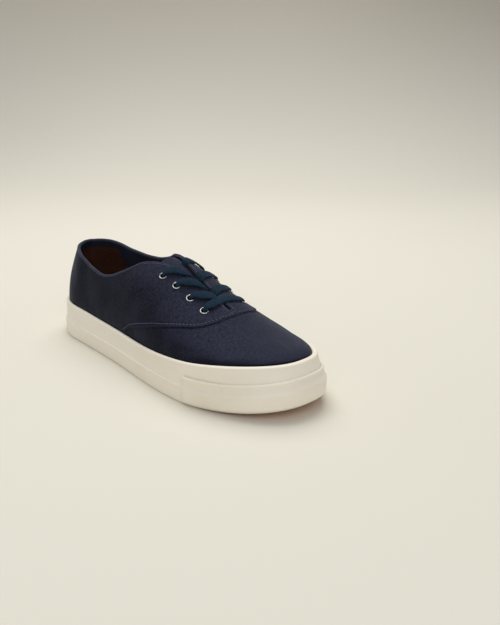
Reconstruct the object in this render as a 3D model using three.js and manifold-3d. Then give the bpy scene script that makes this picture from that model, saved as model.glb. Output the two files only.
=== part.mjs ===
// Low lace-up canvas sneaker, right shoe, in millimetres.
// Toe at +X, heel at -X, lateral side at -Y, medial side at +Y, floor at Z = 0.
import * as THREE from "three";
import { mergeVertices } from "three/addons/utils/BufferGeometryUtils.js";
import Module from "manifold-3d";

const wasm = await Module();
wasm.setup();

// ---- driving sizes ----
const SHOE_LENGTH = 300; // rubber wall, heel to toe
const BALL_WIDTH = 108; // rubber wall at the ball of the foot
const INSTEP_HEIGHT = 93; // floor to the ridge at the top eyelets
const HEEL_HEIGHT = 84; // floor to the collar at the back
const WALL_HEIGHT = 33; // rubber wall at the heel
const TOE_SPRING = 9; // lift of the sole at the toe tip
const SPRING_START = 60; // where the sole leaves the floor
const UPPER_WALL = 2; // canvas and lining together
const GAP = 0.3; // room between curved pieces that meet
const UPPER_INSET = 6; // sole edge to the canvas above the rubber wall
const TOE_LEAN = { lateral: 4.5, medial: 4.5 }; // how far the wall's top leans in at the toe
const FOOTBED_HEEL = 15; // top of the sole under the heel
const FOOTBED_BALL = 11.5; // top of the sole under the ball
const INSOLE_THICK = 4;
const TAPE_HEIGHT = 14; // ridge of the lower wall tape
const BUMPER_START = 70; // toe bumper runs from here round the toe
const BUMPER_HEIGHT = 22.5;
const BUMPER_PROUD = 1.3;
const EYELET_PITCH = 16.0; // along the shoe
const EYELET_FIRST = 8.5; // top eyelet row
const EYELET_ROWS = 4;
const EYELET_SIDE = 21; // ridge to the eyelet centres
const EYELET_RING = 3.5; // outer radius of the ring
const EYELET_HOLE = 2.0; // radius of the hole in the ring
const EYELET_BARREL = 2.4; // outer radius of the barrel
const LACE_WIDTH = 7.6;
const LACE_THICK = 1.3;
const STATIONS = 42; // sections from heel to toe, shared by upper, wall and outsole
const HALF = SHOE_LENGTH / 2;
const CENTRE = { x: 0.9, y: -1.46 }; // middle of the footprint, moved to the origin at the end

// ---- tables: a row per section ----
// Sole edge: place along the length, half widths as shares of the ball width.
const EDGE = [
  { at: 0.0, lateral: 0.354, medial: 0.332 },
  { at: 0.12, lateral: 0.365, medial: 0.343 },
  { at: 0.35, lateral: 0.413, medial: 0.338 },
  { at: 0.71, lateral: 0.521, medial: 0.479 },
  { at: 0.85, lateral: 0.485, medial: 0.445 },
  { at: 1.0, lateral: 0.448, medial: 0.412 },
];
const HEEL_CAP = { length: 0.145, power: 2.1 };
const TOE_CAP = {
  lateral: { length: 0.28, power: 2.48 },
  medial: { length: 0.32, power: 2.35 },
};
const TOE_SWING = 4.4; // toe centre towards the medial side

// Top of the rubber wall: x and height.
const WALL_TOP = [
  { x: -HALF, z: WALL_HEIGHT + 0.3 },
  { x: 0, z: WALL_HEIGHT - 4 },
  { x: HALF, z: WALL_HEIGHT + TOE_SPRING },
];

// Ridge of the last: x, height, side offset, section fullness and wall bulge.
const RIDGE = [
  { x: -114, z: 1.2 * INSTEP_HEIGHT, y: 0, full: 1.54, bulge: 0.6 },
  { x: -80, z: 1.165 * INSTEP_HEIGHT, y: 0, full: 1.58, bulge: 0.8 },
  { x: -40, z: 1.09 * INSTEP_HEIGHT, y: 0.5, full: 1.75, bulge: 0.8 },
  { x: -20, z: 1.04 * INSTEP_HEIGHT, y: 0.8, full: 1.82, bulge: 0.5 },
  { x: 0, z: 0.984 * INSTEP_HEIGHT, y: 1, full: 1.84, bulge: 0.4 },
  { x: 20, z: 0.91 * INSTEP_HEIGHT, y: 1.5, full: 1.8, bulge: 0.4 },
  { x: 40, z: 0.798 * INSTEP_HEIGHT, y: 2, full: 1.78, bulge: 0.6 },
  { x: 60, z: 0.695 * INSTEP_HEIGHT, y: 2.2, full: 1.72, bulge: 0.7 },
  { x: 80, z: 0.603 * INSTEP_HEIGHT, y: 2.4, full: 1.7, bulge: 0.7 },
  { x: 100, z: 0.538 * INSTEP_HEIGHT, y: 2.8, full: 1.7, bulge: 0.5 },
  { x: 122, z: 0.492 * INSTEP_HEIGHT, y: 3.4, full: 1.75, bulge: 0.4 },
];

// Where the rib that starts at x on the edge meets the ridge.
const FAN = [
  { x: -144, ridge: -114 },
  { x: -125, ridge: -104 },
  { x: -95, ridge: -88 },
  { x: -50, ridge: -50 },
  { x: 60, ridge: 60 },
  { x: 100, ridge: 94 },
  { x: 130, ridge: 112 },
  { x: 144, ridge: 120 },
];

// Collar line: x and height on each side.
const COLLAR = [
  { x: -140, lateral: HEEL_HEIGHT, medial: HEEL_HEIGHT },
  { x: -122, lateral: HEEL_HEIGHT - 2.5, medial: HEEL_HEIGHT - 0.5 },
  { x: -103, lateral: HEEL_HEIGHT - 8, medial: HEEL_HEIGHT - 3 },
  { x: -86, lateral: HEEL_HEIGHT - 12.5, medial: HEEL_HEIGHT - 5.5 },
  { x: -66, lateral: HEEL_HEIGHT - 15, medial: HEEL_HEIGHT - 7 },
  { x: -52, lateral: HEEL_HEIGHT - 12.5, medial: HEEL_HEIGHT - 6.2 },
  { x: -38, lateral: HEEL_HEIGHT - 6.5, medial: HEEL_HEIGHT - 3.5 },
  { x: -30, lateral: HEEL_HEIGHT - 2.2, medial: HEEL_HEIGHT - 0.5 },
  { x: -22, lateral: HEEL_HEIGHT + 3, medial: HEEL_HEIGHT + 3.5 },
  { x: -14, lateral: HEEL_HEIGHT + 10, medial: HEEL_HEIGHT + 10 },
  { x: -6, lateral: HEEL_HEIGHT + 24, medial: HEEL_HEIGHT + 24 },
];

// Throat edges: x and how far each lies from the ridge towards its own side. The throat opens out
// into the collar at the back, and in front it is a slit a little to the lateral side of the ridge.
const THROAT = [
  { x: -30, lateral: 23.5, medial: 17.3 },
  { x: -22, lateral: 20.6, medial: 14.6 },
  { x: -13, lateral: 17.2, medial: 12.4 },
  { x: -4, lateral: 14.0, medial: 9.2 },
  { x: 4, lateral: 11.8, medial: 5.6 },
  { x: 14, lateral: 10.2, medial: 1.4 },
  { x: 26, lateral: 8.2, medial: -1.2 },
  { x: 44, lateral: 6.0, medial: -1.6 },
  { x: 60, lateral: 5.0, medial: -1.4 },
];
const THROAT_FRONT = 68;

// ---- helpers ----
const clamp = (v, lo, hi) => Math.min(hi, Math.max(lo, v));

// Smooth monotone curve through one column of a table.
function curve(rows, key, value) {
  const x = rows.map((r) => r[key]);
  const y = rows.map((r) => r[value]);
  const n = x.length;
  const step = [];
  for (let i = 0; i < n - 1; i++) step.push((y[i + 1] - y[i]) / (x[i + 1] - x[i]));
  const slope = [step[0]];
  for (let i = 1; i < n - 1; i++) {
    const flat = step[i - 1] * step[i] <= 0;
    const wa = 2 * (x[i + 1] - x[i]) + (x[i] - x[i - 1]);
    const wb = x[i + 1] - x[i] + 2 * (x[i] - x[i - 1]);
    slope.push(flat ? 0 : (wa + wb) / (wa / step[i - 1] + wb / step[i]));
  }
  slope.push(step[n - 2]);
  return (at) => {
    const v = clamp(at, x[0], x[n - 1]);
    let i = 0;
    while (i < n - 2 && v > x[i + 1]) i++;
    const h = x[i + 1] - x[i];
    const t = (v - x[i]) / h;
    const a = y[i] * (1 + 2 * t) * (1 - t) ** 2 + y[i + 1] * t * t * (3 - 2 * t);
    const b = slope[i] * h * t * (1 - t) ** 2 + slope[i + 1] * h * t * t * (t - 1);
    return a + b;
  };
}

const edgeCurve = { lateral: curve(EDGE, "at", "lateral"), medial: curve(EDGE, "at", "medial") };
const wallTop = curve(WALL_TOP, "x", "z");
const ridgeZ = curve(RIDGE, "x", "z");
const ridgeY = curve(RIDGE, "x", "y");
const fullness = curve(RIDGE, "x", "full");
const bulge = curve(RIDGE, "x", "bulge");
const fan = curve(FAN, "x", "ridge");
const collar = { lateral: curve(COLLAR, "x", "lateral"), medial: curve(COLLAR, "x", "medial") };
const throat = { lateral: curve(THROAT, "x", "lateral"), medial: curve(THROAT, "x", "medial") };
const signOf = (side) => (side === "lateral" ? -1 : 1);

// Underside of the sole: flat on the floor, then lifted towards the toe.
const springAt = (x) => TOE_SPRING * (Math.max(0, x - SPRING_START) / (HALF - SPRING_START)) ** 2;

// Extra inset of the wall's top edge towards the toe, and the inset of the canvas above it.
const leanAt = (side, x) => TOE_LEAN[side] * THREE.MathUtils.smoothstep(x, 70, 146);

// Top of the sole, where the foot rests.
function footbed(x) {
  const t = THREE.MathUtils.smoothstep(x, -60, 45);
  return FOOTBED_HEEL + (FOOTBED_BALL - FOOTBED_HEEL) * t + springAt(x);
}

// Sole edge on one side, at a share s of the length.
function edgeRaw(side, s) {
  const heel = s < HEEL_CAP.length ? 1 - s / HEEL_CAP.length : 0;
  const cap = TOE_CAP[side];
  const toe = s > 1 - cap.length ? (s - 1 + cap.length) / cap.length : 0;
  const capHeel = (1 - heel ** HEEL_CAP.power) ** (1 / HEEL_CAP.power);
  const capToe = (1 - toe ** cap.power) ** (1 / cap.power);
  const swing = TOE_SWING * Math.max(0, 2 * s - 1) ** 2;
  const half = BALL_WIDTH * edgeCurve[side](s) * capHeel * capToe;
  return new THREE.Vector2(-HALF + SHOE_LENGTH * s, swing + signOf(side) * half);
}

// The same edge measured by its own length: u = 0 at the heel, 1 at the toe.
function edgePath(side) {
  const points = [];
  for (let i = 0; i <= 400; i++) points.push(edgeRaw(side, 0.5 - 0.5 * Math.cos((Math.PI * i) / 400)));
  const run = [0];
  for (let i = 1; i < points.length; i++) run.push(run[i - 1] + points[i].distanceTo(points[i - 1]));
  const total = run[run.length - 1];
  return (u) => {
    const want = clamp(u, 0, 1) * total;
    let lo = 0;
    let hi = run.length - 1;
    while (hi - lo > 1) {
      const mid = (lo + hi) >> 1;
      if (run[mid] <= want) lo = mid;
      else hi = mid;
    }
    const t = (want - run[lo]) / (run[hi] - run[lo]);
    return points[lo].clone().lerp(points[hi], t);
  };
}
const edge = { lateral: edgePath("lateral"), medial: edgePath("medial") };

// Point on the sole edge moved inwards by a distance.
function edgeIn(side, u, inset) {
  const p = edge[side](u);
  const d = 0.004;
  const ahead = edge[side](u + d);
  const behind = edge[side](u - d);
  if (u < d) behind.set(ahead.x, 2 * edge[side](0).y - ahead.y);
  if (u > 1 - d) ahead.set(behind.x, 2 * edge[side](1).y - behind.y);
  const t = ahead.sub(behind).normalize();
  const s = signOf(side);
  return new THREE.Vector2(p.x + s * t.y * inset, p.y - s * t.x * inset);
}

// Foot of the canvas: on the sole edge, moved in to the top of the rubber wall.
function canvasFoot(side, u) {
  return edgeIn(side, u, UPPER_INSET + leanAt(side, edge[side](u).x));
}

// Skin of the last: u along the edge, f from the rubber wall (0) to the ridge (1).
function skin(side, u, f) {
  const foot = canvasFoot(side, u);
  const middle = (canvasFoot("lateral", u).x + canvasFoot("medial", u).x) / 2;
  const rx = fan(middle);
  const top = new THREE.Vector3(rx, ridgeY(rx), ridgeZ(rx));
  const low = wallTop(foot.x);
  const n = fullness(rx);
  const across = Math.cos((f * Math.PI) / 2) ** (2 / n);
  const up = Math.sin((f * Math.PI) / 2) ** (2 / n);
  const span = foot.distanceTo(new THREE.Vector2(top.x, top.y));
  const share = across + (bulge(rx) / span) * Math.sin(Math.PI * Math.min(1, up * 1.15)) * (1 - up);
  return new THREE.Vector3(
    top.x + (foot.x - top.x) * share,
    top.y + (foot.y - top.y) * share,
    low + (top.z - low) * up,
  );
}

// Surface through rows of section points: around joins each row's ends, capped fans over the two end rows.
function loft(rows, around, capped) {
  const count = rows[0].length;
  const last = (rows.length - 1) * count;
  const index = [];
  for (let i = 0; i < rows.length - 1; i++) {
    for (let j = 0; j < (around ? count : count - 1); j++) {
      const k = (j + 1) % count;
      const a = i * count + j;
      const b = i * count + k;
      const c = (i + 1) * count + k;
      const d = (i + 1) * count + j;
      index.push(a, b, c, a, c, d);
    }
  }
  for (let j = 1; capped && j < count - 1; j++) {
    index.push(0, j + 1, j, last, last + j, last + j + 1);
  }
  const position = rows.flat().flatMap((p) => [p.x, p.y, p.z]);
  const geometry = new THREE.BufferGeometry();
  geometry.setAttribute("position", new THREE.Float32BufferAttribute(position, 3));
  geometry.setIndex(index);
  return clean(geometry);
}

// Merge equal vertices and drop faces that have closed up.
function clean(geometry) {
  geometry.deleteAttribute("normal");
  geometry.deleteAttribute("uv");
  const merged = mergeVertices(geometry, 1e-3);
  const old = merged.index.array;
  const keep = [];
  for (let i = 0; i < old.length; i += 3) {
    const [a, b, c] = [old[i], old[i + 1], old[i + 2]];
    if (a !== b && b !== c && a !== c) keep.push(a, b, c);
  }
  merged.setIndex(keep);
  return merged;
}

const ring = (rows) => loft([...rows, rows[0]], true, false);
const bar = (rows) => loft(rows, true, true);
const sheet = (rows) => loft([...rows].reverse(), false, false);

// Sheet made solid: the open surface, its copy pushed inwards, and a rim between them.
function thicken(sheet, thick) {
  const outer = clean(sheet);
  outer.computeVertexNormals();
  const position = outer.attributes.position;
  const normal = outer.attributes.normal;
  const count = position.count;
  const all = [...position.array];
  for (let i = 0; i < count; i++) {
    all.push(position.getX(i) - normal.getX(i) * thick);
    all.push(position.getY(i) - normal.getY(i) * thick);
    all.push(position.getZ(i) - normal.getZ(i) * thick);
  }
  const face = outer.index.array;
  const index = [...face];
  const open = new Map();
  for (let i = 0; i < face.length; i += 3) {
    const tri = [face[i], face[i + 1], face[i + 2]];
    index.push(tri[0] + count, tri[2] + count, tri[1] + count);
    for (let k = 0; k < 3; k++) {
      const a = tri[k];
      const b = tri[(k + 1) % 3];
      if (open.has(b + "," + a)) open.delete(b + "," + a);
      else open.set(a + "," + b, [a, b]);
    }
  }
  for (const [a, b] of open.values()) index.push(b, a, a + count, b, a + count, b + count);
  const geometry = new THREE.BufferGeometry();
  geometry.setAttribute("position", new THREE.Float32BufferAttribute(all, 3));
  geometry.setIndex(index);
  return geometry;
}

// ---- solids ----
function solid(geometry) {
  const g = clean(geometry.index ? geometry.clone() : mergeVertices(geometry));
  let made = new wasm.Manifold(
    new wasm.Mesh({
      numProp: 3,
      vertProperties: new Float32Array(g.attributes.position.array),
      triVerts: new Uint32Array(g.index.array),
    }),
  );
  if (made.volume() < 0) {
    const flip = g.index.array.slice();
    for (let i = 0; i < flip.length; i += 3) [flip[i + 1], flip[i + 2]] = [flip[i + 2], flip[i + 1]];
    made = new wasm.Manifold(
      new wasm.Mesh({
        numProp: 3,
        vertProperties: new Float32Array(g.attributes.position.array),
        triVerts: new Uint32Array(flip),
      }),
    );
  }
  return made;
}

function geometryOf(body) {
  const m = body.getMesh();
  const n = m.numProp;
  const v = new Float32Array(m.numVert * 3);
  for (let i = 0; i < m.numVert; i++) v.set(m.vertProperties.subarray(i * n, i * n + 3), i * 3);
  const g = new THREE.BufferGeometry();
  g.setAttribute("position", new THREE.BufferAttribute(v, 3));
  g.setIndex(new THREE.BufferAttribute(new Uint32Array(m.triVerts), 1));
  return g;
}

const box = (x0, x1, y0, y1, z0, z1) =>
  new THREE.BoxGeometry(x1 - x0, y1 - y0, z1 - z0).translate(
    (x0 + x1) / 2,
    (y0 + y1) / 2,
    (z0 + z1) / 2,
  );

// Upright prism over a plan outline.
function prism(points, z0, z1) {
  const shape = new THREE.Shape(points);
  const g = new THREE.ExtrudeGeometry(shape, { depth: z1 - z0, bevelEnabled: false, steps: 1 });
  return g.translate(0, 0, z0);
}

// ---- the place on the skin over a given x and y ----
function skinOver(x, y) {
  const side = y < ridgeY(x) ? "lateral" : "medial";
  const s = signOf(side);
  const climb = (u) => {
    let lo = 0;
    let hi = 1;
    for (let i = 0; i < 26; i++) {
      const f = (lo + hi) / 2;
      if (s * (skin(side, u, f).y - y) > 0) lo = f;
      else hi = f;
    }
    return (lo + hi) / 2;
  };
  let a = 0.05;
  let b = 0.98;
  for (let i = 0; i < 26; i++) {
    const u = (a + b) / 2;
    if (skin(side, u, climb(u)).x < x) a = u;
    else b = u;
  }
  const u = (a + b) / 2;
  const f = climb(u);
  const p = skin(side, u, f);
  const du = skin(side, u + 0.004, f).sub(skin(side, u - 0.004, f));
  const df = skin(side, u, Math.min(1, f + 0.01)).sub(skin(side, u, Math.max(0, f - 0.01)));
  const n = du.cross(df).normalize();
  if (n.z < 0) n.negate();
  return { p, n };
}

// ---- upper ----
const CLIMB = [0, 0.08, 0.18, 0.3, 0.42, 0.54, 0.66, 0.77, 0.87, 0.94];

function upperSheet() {
  const rows = [];
  for (let i = 0; i <= STATIONS; i++) {
    const u = i / STATIONS;
    const half = (side) => {
      const foot = canvasFoot(side, u);
      const low = footbed(foot.x) + GAP;
      const mid = (low + wallTop(foot.x)) / 2;
      const line = [new THREE.Vector3(foot.x, foot.y, low), new THREE.Vector3(foot.x, foot.y, mid)];
      for (const f of CLIMB) line.push(skin(side, u, f));
      return line;
    };
    const row = [...half("lateral"), skin("lateral", u, 1), ...half("medial").reverse()];
    rows.push(row);
  }
  return sheet(rows);
}

// Block above the collar line.
function collarCutter() {
  const rows = [];
  for (let x = -160; x <= 40; x += 4) {
    const zl = collar.lateral(x);
    const zm = collar.medial(x);
    rows.push([
      new THREE.Vector3(x, -60, zl),
      new THREE.Vector3(x, -12, zl),
      new THREE.Vector3(x, 12, zm),
      new THREE.Vector3(x, 60, zm),
      new THREE.Vector3(x, 60, 170),
      new THREE.Vector3(x, -60, 170),
    ]);
  }
  return bar(rows);
}

// Upright block through the throat, round at the front.
function throatCutter() {
  const near = [];
  const far = [];
  const end = THROAT[THROAT.length - 1];
  const r = (end.lateral + end.medial) / 2;
  const straight = THROAT_FRONT - r;
  for (let x = -34; x < straight; x += 4) {
    near.push(new THREE.Vector2(x, ridgeY(x) - throat.lateral(x)));
    far.unshift(new THREE.Vector2(x, ridgeY(x) + throat.medial(x)));
  }
  const nose = [];
  const middle = ridgeY(straight) + (end.medial - end.lateral) / 2;
  for (let i = 0; i <= 8; i++) {
    const a = -Math.PI / 2 + (Math.PI * i) / 8;
    nose.push(new THREE.Vector2(straight + r * Math.cos(a), middle + r * Math.sin(a)));
  }
  return prism([...near, ...nose, ...far], 40, 170);
}

// Eyelet places: row 0 is at the top of the throat.
function eyeletPlace(side, row) {
  const x = EYELET_FIRST + EYELET_PITCH * row;
  const y = ridgeY(x) + signOf(side) * EYELET_SIDE;
  const { p, n } = skinOver(x, y);
  const turn = new THREE.Quaternion().setFromUnitVectors(new THREE.Vector3(0, 1, 0), n);
  return { p, n, turn };
}

const place = (geometry, { p, turn }) => geometry.applyQuaternion(turn).translate(p.x, p.y, p.z);

let upper = solid(thicken(upperSheet(), UPPER_WALL));
upper = upper.subtract(solid(collarCutter()));
upper = upper.subtract(solid(throatCutter()));
for (const side of ["lateral", "medial"]) {
  for (let row = 0; row < EYELET_ROWS; row++) {
    const hole = new THREE.CylinderGeometry(EYELET_BARREL + GAP, EYELET_BARREL + GAP, 12, 16);
    upper = upper.subtract(solid(place(hole, eyeletPlace(side, row))));
  }
}

// ---- rubber wall and toe bumper ----
// Inset of the wall's outer face at a height, both measured from its own underside.
function wallInset(z, top, lean) {
  const leaning = lean * THREE.MathUtils.smoothstep(z, TAPE_HEIGHT - 2, top);
  if (z <= TAPE_HEIGHT - 1) return 0.5 + 0.3 * (z / TAPE_HEIGHT);
  if (z <= TAPE_HEIGHT + 0.4) return 0.8 + ((z - TAPE_HEIGHT + 1) / 1.4) * 0.9 + leaning;
  return 1.7 + 0.8 * ((z - TAPE_HEIGHT - 0.4) / (top - TAPE_HEIGHT - 0.4)) + leaning;
}

// Section points given as inset and height above the wall's underside.
function wallPoints(side, u, shape) {
  const at = edge[side](u);
  const base = springAt(at.x) + 0.4;
  const top = wallTop(at.x) - base;
  return shape(top, leanAt(side, at.x)).map(([inset, z]) => {
    const p = edgeIn(side, u, inset);
    return new THREE.Vector3(p.x, p.y, base + z);
  });
}

const wallShape = (top, lean) => [
  [1.3, 0],
  [0.5, 1],
  [wallInset(TAPE_HEIGHT - 1, top, lean), TAPE_HEIGHT - 1],
  [wallInset(TAPE_HEIGHT + 0.4, top, lean), TAPE_HEIGHT + 0.4],
  [wallInset(BUMPER_HEIGHT, top, lean), BUMPER_HEIGHT],
  [wallInset(top - 1.4, top, lean), top - 1.4],
  [3.4 + lean, top - 0.2],
  [UPPER_INSET - GAP - 0.8 + lean, top],
  [UPPER_INSET - GAP + lean, top - 0.6],
  [UPPER_INSET - GAP + lean, 0],
];

const bumperShape = (top, lean) => [
  [wallInset(1.2, top, lean) - GAP, 1.2],
  [0.2 - BUMPER_PROUD, 1.4],
  [-BUMPER_PROUD, 3],
  [0.1 - BUMPER_PROUD, BUMPER_HEIGHT - 6.5],
  [0.7 - BUMPER_PROUD + 0.15 * lean, BUMPER_HEIGHT - 4.5],
  [1.1 - BUMPER_PROUD + 0.3 * lean, BUMPER_HEIGHT - 1],
  [wallInset(BUMPER_HEIGHT, top, lean) - GAP, BUMPER_HEIGHT],
  [wallInset(TAPE_HEIGHT + 0.4, top, lean) - GAP, TAPE_HEIGHT + 0.4],
  [wallInset(TAPE_HEIGHT - 1, top, lean) - GAP, TAPE_HEIGHT - 1],
];

const wallRows = [];
for (let i = 0; i < STATIONS; i++) {
  wallRows.push(wallPoints("lateral", i / STATIONS, wallShape));
}
for (let i = STATIONS; i > 0; i--) {
  wallRows.push(wallPoints("medial", i / STATIONS, wallShape));
}
const foxing = solid(ring(wallRows));

// Share of the sole edge at a given x.
function edgeShare(side, x) {
  let lo = 0;
  let hi = 1;
  for (let i = 0; i < 30; i++) {
    const mid = (lo + hi) / 2;
    if (edge[side](mid).x < x) lo = mid;
    else hi = mid;
  }
  return (lo + hi) / 2;
}

// The bumper keeps the wall's own stations, so the two faces stay parallel.
function bumperLine(side) {
  const start = edgeShare(side, BUMPER_START);
  const line = [wallPoints(side, start, bumperShape)];
  for (let i = Math.ceil(start * STATIONS + 0.2); i <= STATIONS; i++) {
    line.push(wallPoints(side, i / STATIONS, bumperShape));
  }
  return line;
}
const bumper = solid(bar([...bumperLine("lateral"), ...bumperLine("medial").reverse().slice(1)]));

// ---- outsole ----
function slab(inset, bottom, top, stations) {
  const rows = [];
  for (let i = 0; i <= stations; i++) {
    const u = i / stations;
    const l = edgeIn("lateral", u, inset + leanAt("lateral", edge.lateral(u).x));
    const m = edgeIn("medial", u, inset + leanAt("medial", edge.medial(u).x));
    const lm = l.clone().lerp(m, 0.5);
    const lift = (p, fn) => new THREE.Vector3(p.x, p.y, fn(p.x, p.y));
    rows.push([lift(l, bottom), lift(l, top), lift(lm, top), lift(m, top), lift(m, bottom), lift(lm, bottom)]);
  }
  return loft(rows, true, false);
}

const TREAD_DEPTH = 2.2;
const GROOVES = [-128, -112, -96, -80, 34, 50, 66, 82, 98, 114];
let outsole = solid(slab(UPPER_INSET, (x) => springAt(x), (x) => footbed(x), STATIONS));
for (const x of GROOVES) {
  const z = springAt(x);
  outsole = outsole.subtract(solid(box(x - 1.5, x + 1.5, -38, 44, z - 2, z + TREAD_DEPTH)));
}
// Raised arch between the heel and the forefoot pads.
const ARCH_RADIUS = 420;
const arch = new THREE.CylinderGeometry(ARCH_RADIUS, ARCH_RADIUS, 200, 180);
arch.rotateY(Math.PI / 360).translate(-22, 0, 2.4 - ARCH_RADIUS);
const archWindow = solid(box(-64, 20, -80, 80, -5, 5));
outsole = outsole.subtract(solid(arch).intersect(archWindow));

// ---- insole ----
const insoleBottom = (x) => footbed(x) + GAP;
const insoleTop = (x) => footbed(x) + GAP + INSOLE_THICK;
const insole = solid(slab(UPPER_INSET + UPPER_WALL + 0.5, insoleBottom, insoleTop, 32));

// ---- tongue ----
const TONGUE = [
  { x: -8, half: 13 },
  { x: -3, half: 18 },
  { x: 10, half: 21 },
  { x: 60, half: 20 },
  { x: 96, half: 15 },
];
const tongueHalf = curve(TONGUE, "x", "half");
const TONGUE_TOP = -8;
const TONGUE_END = 96;
const TONGUE_THICK = 2.2;
const TONGUE_DROP = UPPER_WALL + 1.6;

function tongueSheet() {
  const rows = [];
  const along = 14;
  const across = 6;
  for (let i = 0; i <= along; i++) {
    const x = TONGUE_TOP + ((TONGUE_END - TONGUE_TOP) * i) / along;
    const row = [];
    for (let j = 0; j <= across; j++) {
      const y = ridgeY(x) + tongueHalf(x) * (-1 + (2 * j) / across);
      const { p, n } = skinOver(x, y);
      row.push(p.addScaledVector(n, -TONGUE_DROP));
    }
    rows.push(row);
  }
  return sheet(rows);
}
const tongue = solid(thicken(tongueSheet(), TONGUE_THICK));

// ---- eyelets ----
function eyeletBody() {
  const outline = [
    [EYELET_HOLE, -UPPER_WALL - 1.2],
    [EYELET_RING - 0.7, -UPPER_WALL - 1.2],
    [EYELET_RING - 0.7, -UPPER_WALL - 0.7],
    [EYELET_BARREL, -UPPER_WALL - 0.7],
    [EYELET_BARREL, 0.65],
    [EYELET_RING, 0.65],
    [EYELET_RING - 0.4, 1.15],
    [EYELET_HOLE + 0.5, 1.25],
    [EYELET_HOLE, 0.75],
  ];
  const points = [...outline, outline[0]].map(([r, z]) => new THREE.Vector2(r, z));
  return new THREE.LatheGeometry(points, 12);
}

// ---- laces ----
// Flat strap along a line of points, each with the direction that is up.
function strap(line) {
  const rows = line.map(({ p, n }, i) => {
    const a = line[Math.max(0, i - 1)].p;
    const b = line[Math.min(line.length - 1, i + 1)].p;
    const t = b.clone().sub(a).normalize();
    const side = t.clone().cross(n).normalize();
    const up = side.clone().cross(t).normalize();
    const w = LACE_WIDTH / 2;
    const h = LACE_THICK / 2;
    const flat = [
      [-w, 0],
      [-w + 0.8, -h],
      [w - 0.8, -h],
      [w, 0],
      [w - 0.8, h],
      [-w + 0.8, h],
    ];
    return flat.map(([s, v]) => p.clone().addScaledVector(side, s).addScaledVector(up, v));
  });
  return bar(rows);
}

// Line over the shoe between two places, at one height above the canvas.
function laceLine(from, to) {
  const line = [];
  const count = 8;
  for (let i = 0; i <= count; i++) {
    const at = from.clone().lerp(to, i / count);
    const { p, n } = skinOver(at.x, at.y);
    line.push({ p: p.addScaledVector(n, LACE_LIFT), n });
  }
  return line;
}

// Place at an eyelet row, so far to the medial side of the ridge.
function laceStop(row, aside) {
  const x = EYELET_FIRST + EYELET_PITCH * row;
  return new THREE.Vector2(x, ridgeY(x) + aside);
}

const LACE_LIFT = LACE_THICK / 2 + 1.75;
const LACE_REACH = 0.42; // share of the pitch where the two straps of a row meet over the slit
const SLIT_MIDDLE = -4;
function laceCross(row) {
  const meet = laceStop(row + LACE_REACH, SLIT_MIDDLE);
  const near = laceLine(laceStop(row, -EYELET_SIDE), meet);
  const far = laceLine(laceStop(row, EYELET_SIDE), meet);
  return solid(strap(near)).add(solid(strap(far)));
}
const lastRow = EYELET_ROWS - 1;
const barEnds = [laceStop(lastRow, -EYELET_SIDE), laceStop(lastRow, EYELET_SIDE)];
const laceBar = solid(strap(laceLine(...barEnds)));

// ---- the group ----
const group = new THREE.Group();
const finish = {
  canvas: { color: 0x30334a, roughness: 0.9, metalness: 0 },
  rubber: { color: 0xd8d0bd, roughness: 0.55, metalness: 0 },
  gum: { color: 0xa9814c, roughness: 0.6, metalness: 0 },
  cord: { color: 0x22333f, roughness: 0.85, metalness: 0 },
  lining: { color: 0x3a2a22, roughness: 0.9, metalness: 0 },
  metal: { color: 0xc8ccd0, roughness: 0.3, metalness: 1 },
};

function add(name, geometry, look) {
  geometry.translate(-CENTRE.x, -CENTRE.y, 0);
  const mesh = new THREE.Mesh(geometry, new THREE.MeshStandardMaterial(finish[look]));
  mesh.name = name;
  group.add(mesh);
}

add("upper", geometryOf(upper), "canvas");
add("foxing", geometryOf(foxing), "rubber");
add("toe_bumper", geometryOf(bumper), "rubber");
add("outsole", geometryOf(outsole), "gum");
add("insole", geometryOf(insole), "lining");
add("tongue", geometryOf(tongue), "canvas");
add("lace_bar", geometryOf(laceBar), "cord");
for (let row = 0; row < EYELET_ROWS - 1; row++) {
  add("lace_cross_" + (row + 1), geometryOf(laceCross(row)), "cord");
}
for (const side of ["lateral", "medial"]) {
  for (let row = 0; row < EYELET_ROWS; row++) {
    const body = place(eyeletBody(), eyeletPlace(side, row));
    add("eyelet_" + side + "_" + (row + 1), geometryOf(solid(body)), "metal");
  }
}

export default group;
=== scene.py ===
"""Low canvas lace-up sneaker, right shoe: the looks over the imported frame.

Shapes are worked out in millimetres on the shoe's own last (toe +X, lateral side -Y) and
moved to the frame, in metres, when a mesh is made.
"""

import math

import bmesh
import bpy
import numpy as np
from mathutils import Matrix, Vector


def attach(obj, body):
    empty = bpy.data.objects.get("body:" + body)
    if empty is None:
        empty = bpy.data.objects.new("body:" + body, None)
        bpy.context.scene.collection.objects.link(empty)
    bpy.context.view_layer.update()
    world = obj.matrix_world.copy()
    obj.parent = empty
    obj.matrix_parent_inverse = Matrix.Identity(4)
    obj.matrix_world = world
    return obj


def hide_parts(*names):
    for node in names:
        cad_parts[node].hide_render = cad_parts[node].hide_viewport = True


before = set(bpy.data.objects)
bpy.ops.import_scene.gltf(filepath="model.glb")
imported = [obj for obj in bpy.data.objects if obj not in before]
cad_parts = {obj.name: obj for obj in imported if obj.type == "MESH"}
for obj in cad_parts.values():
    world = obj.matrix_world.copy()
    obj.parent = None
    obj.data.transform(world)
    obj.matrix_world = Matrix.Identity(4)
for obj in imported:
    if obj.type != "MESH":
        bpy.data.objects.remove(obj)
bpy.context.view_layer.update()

# ---- the last ----
SHOE_LENGTH = 300.0
BALL_WIDTH = 108.0
INSTEP_HEIGHT = 93.0
HEEL_HEIGHT = 84.0
WALL_HEIGHT = 33.0
TOE_SPRING = 9.0
SPRING_START = 60.0
UPPER_WALL = 2.0
GAP = 0.3
UPPER_INSET = 6.0
TOE_LEAN = 4.5
FOOTBED_HEEL = 15.0
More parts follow.
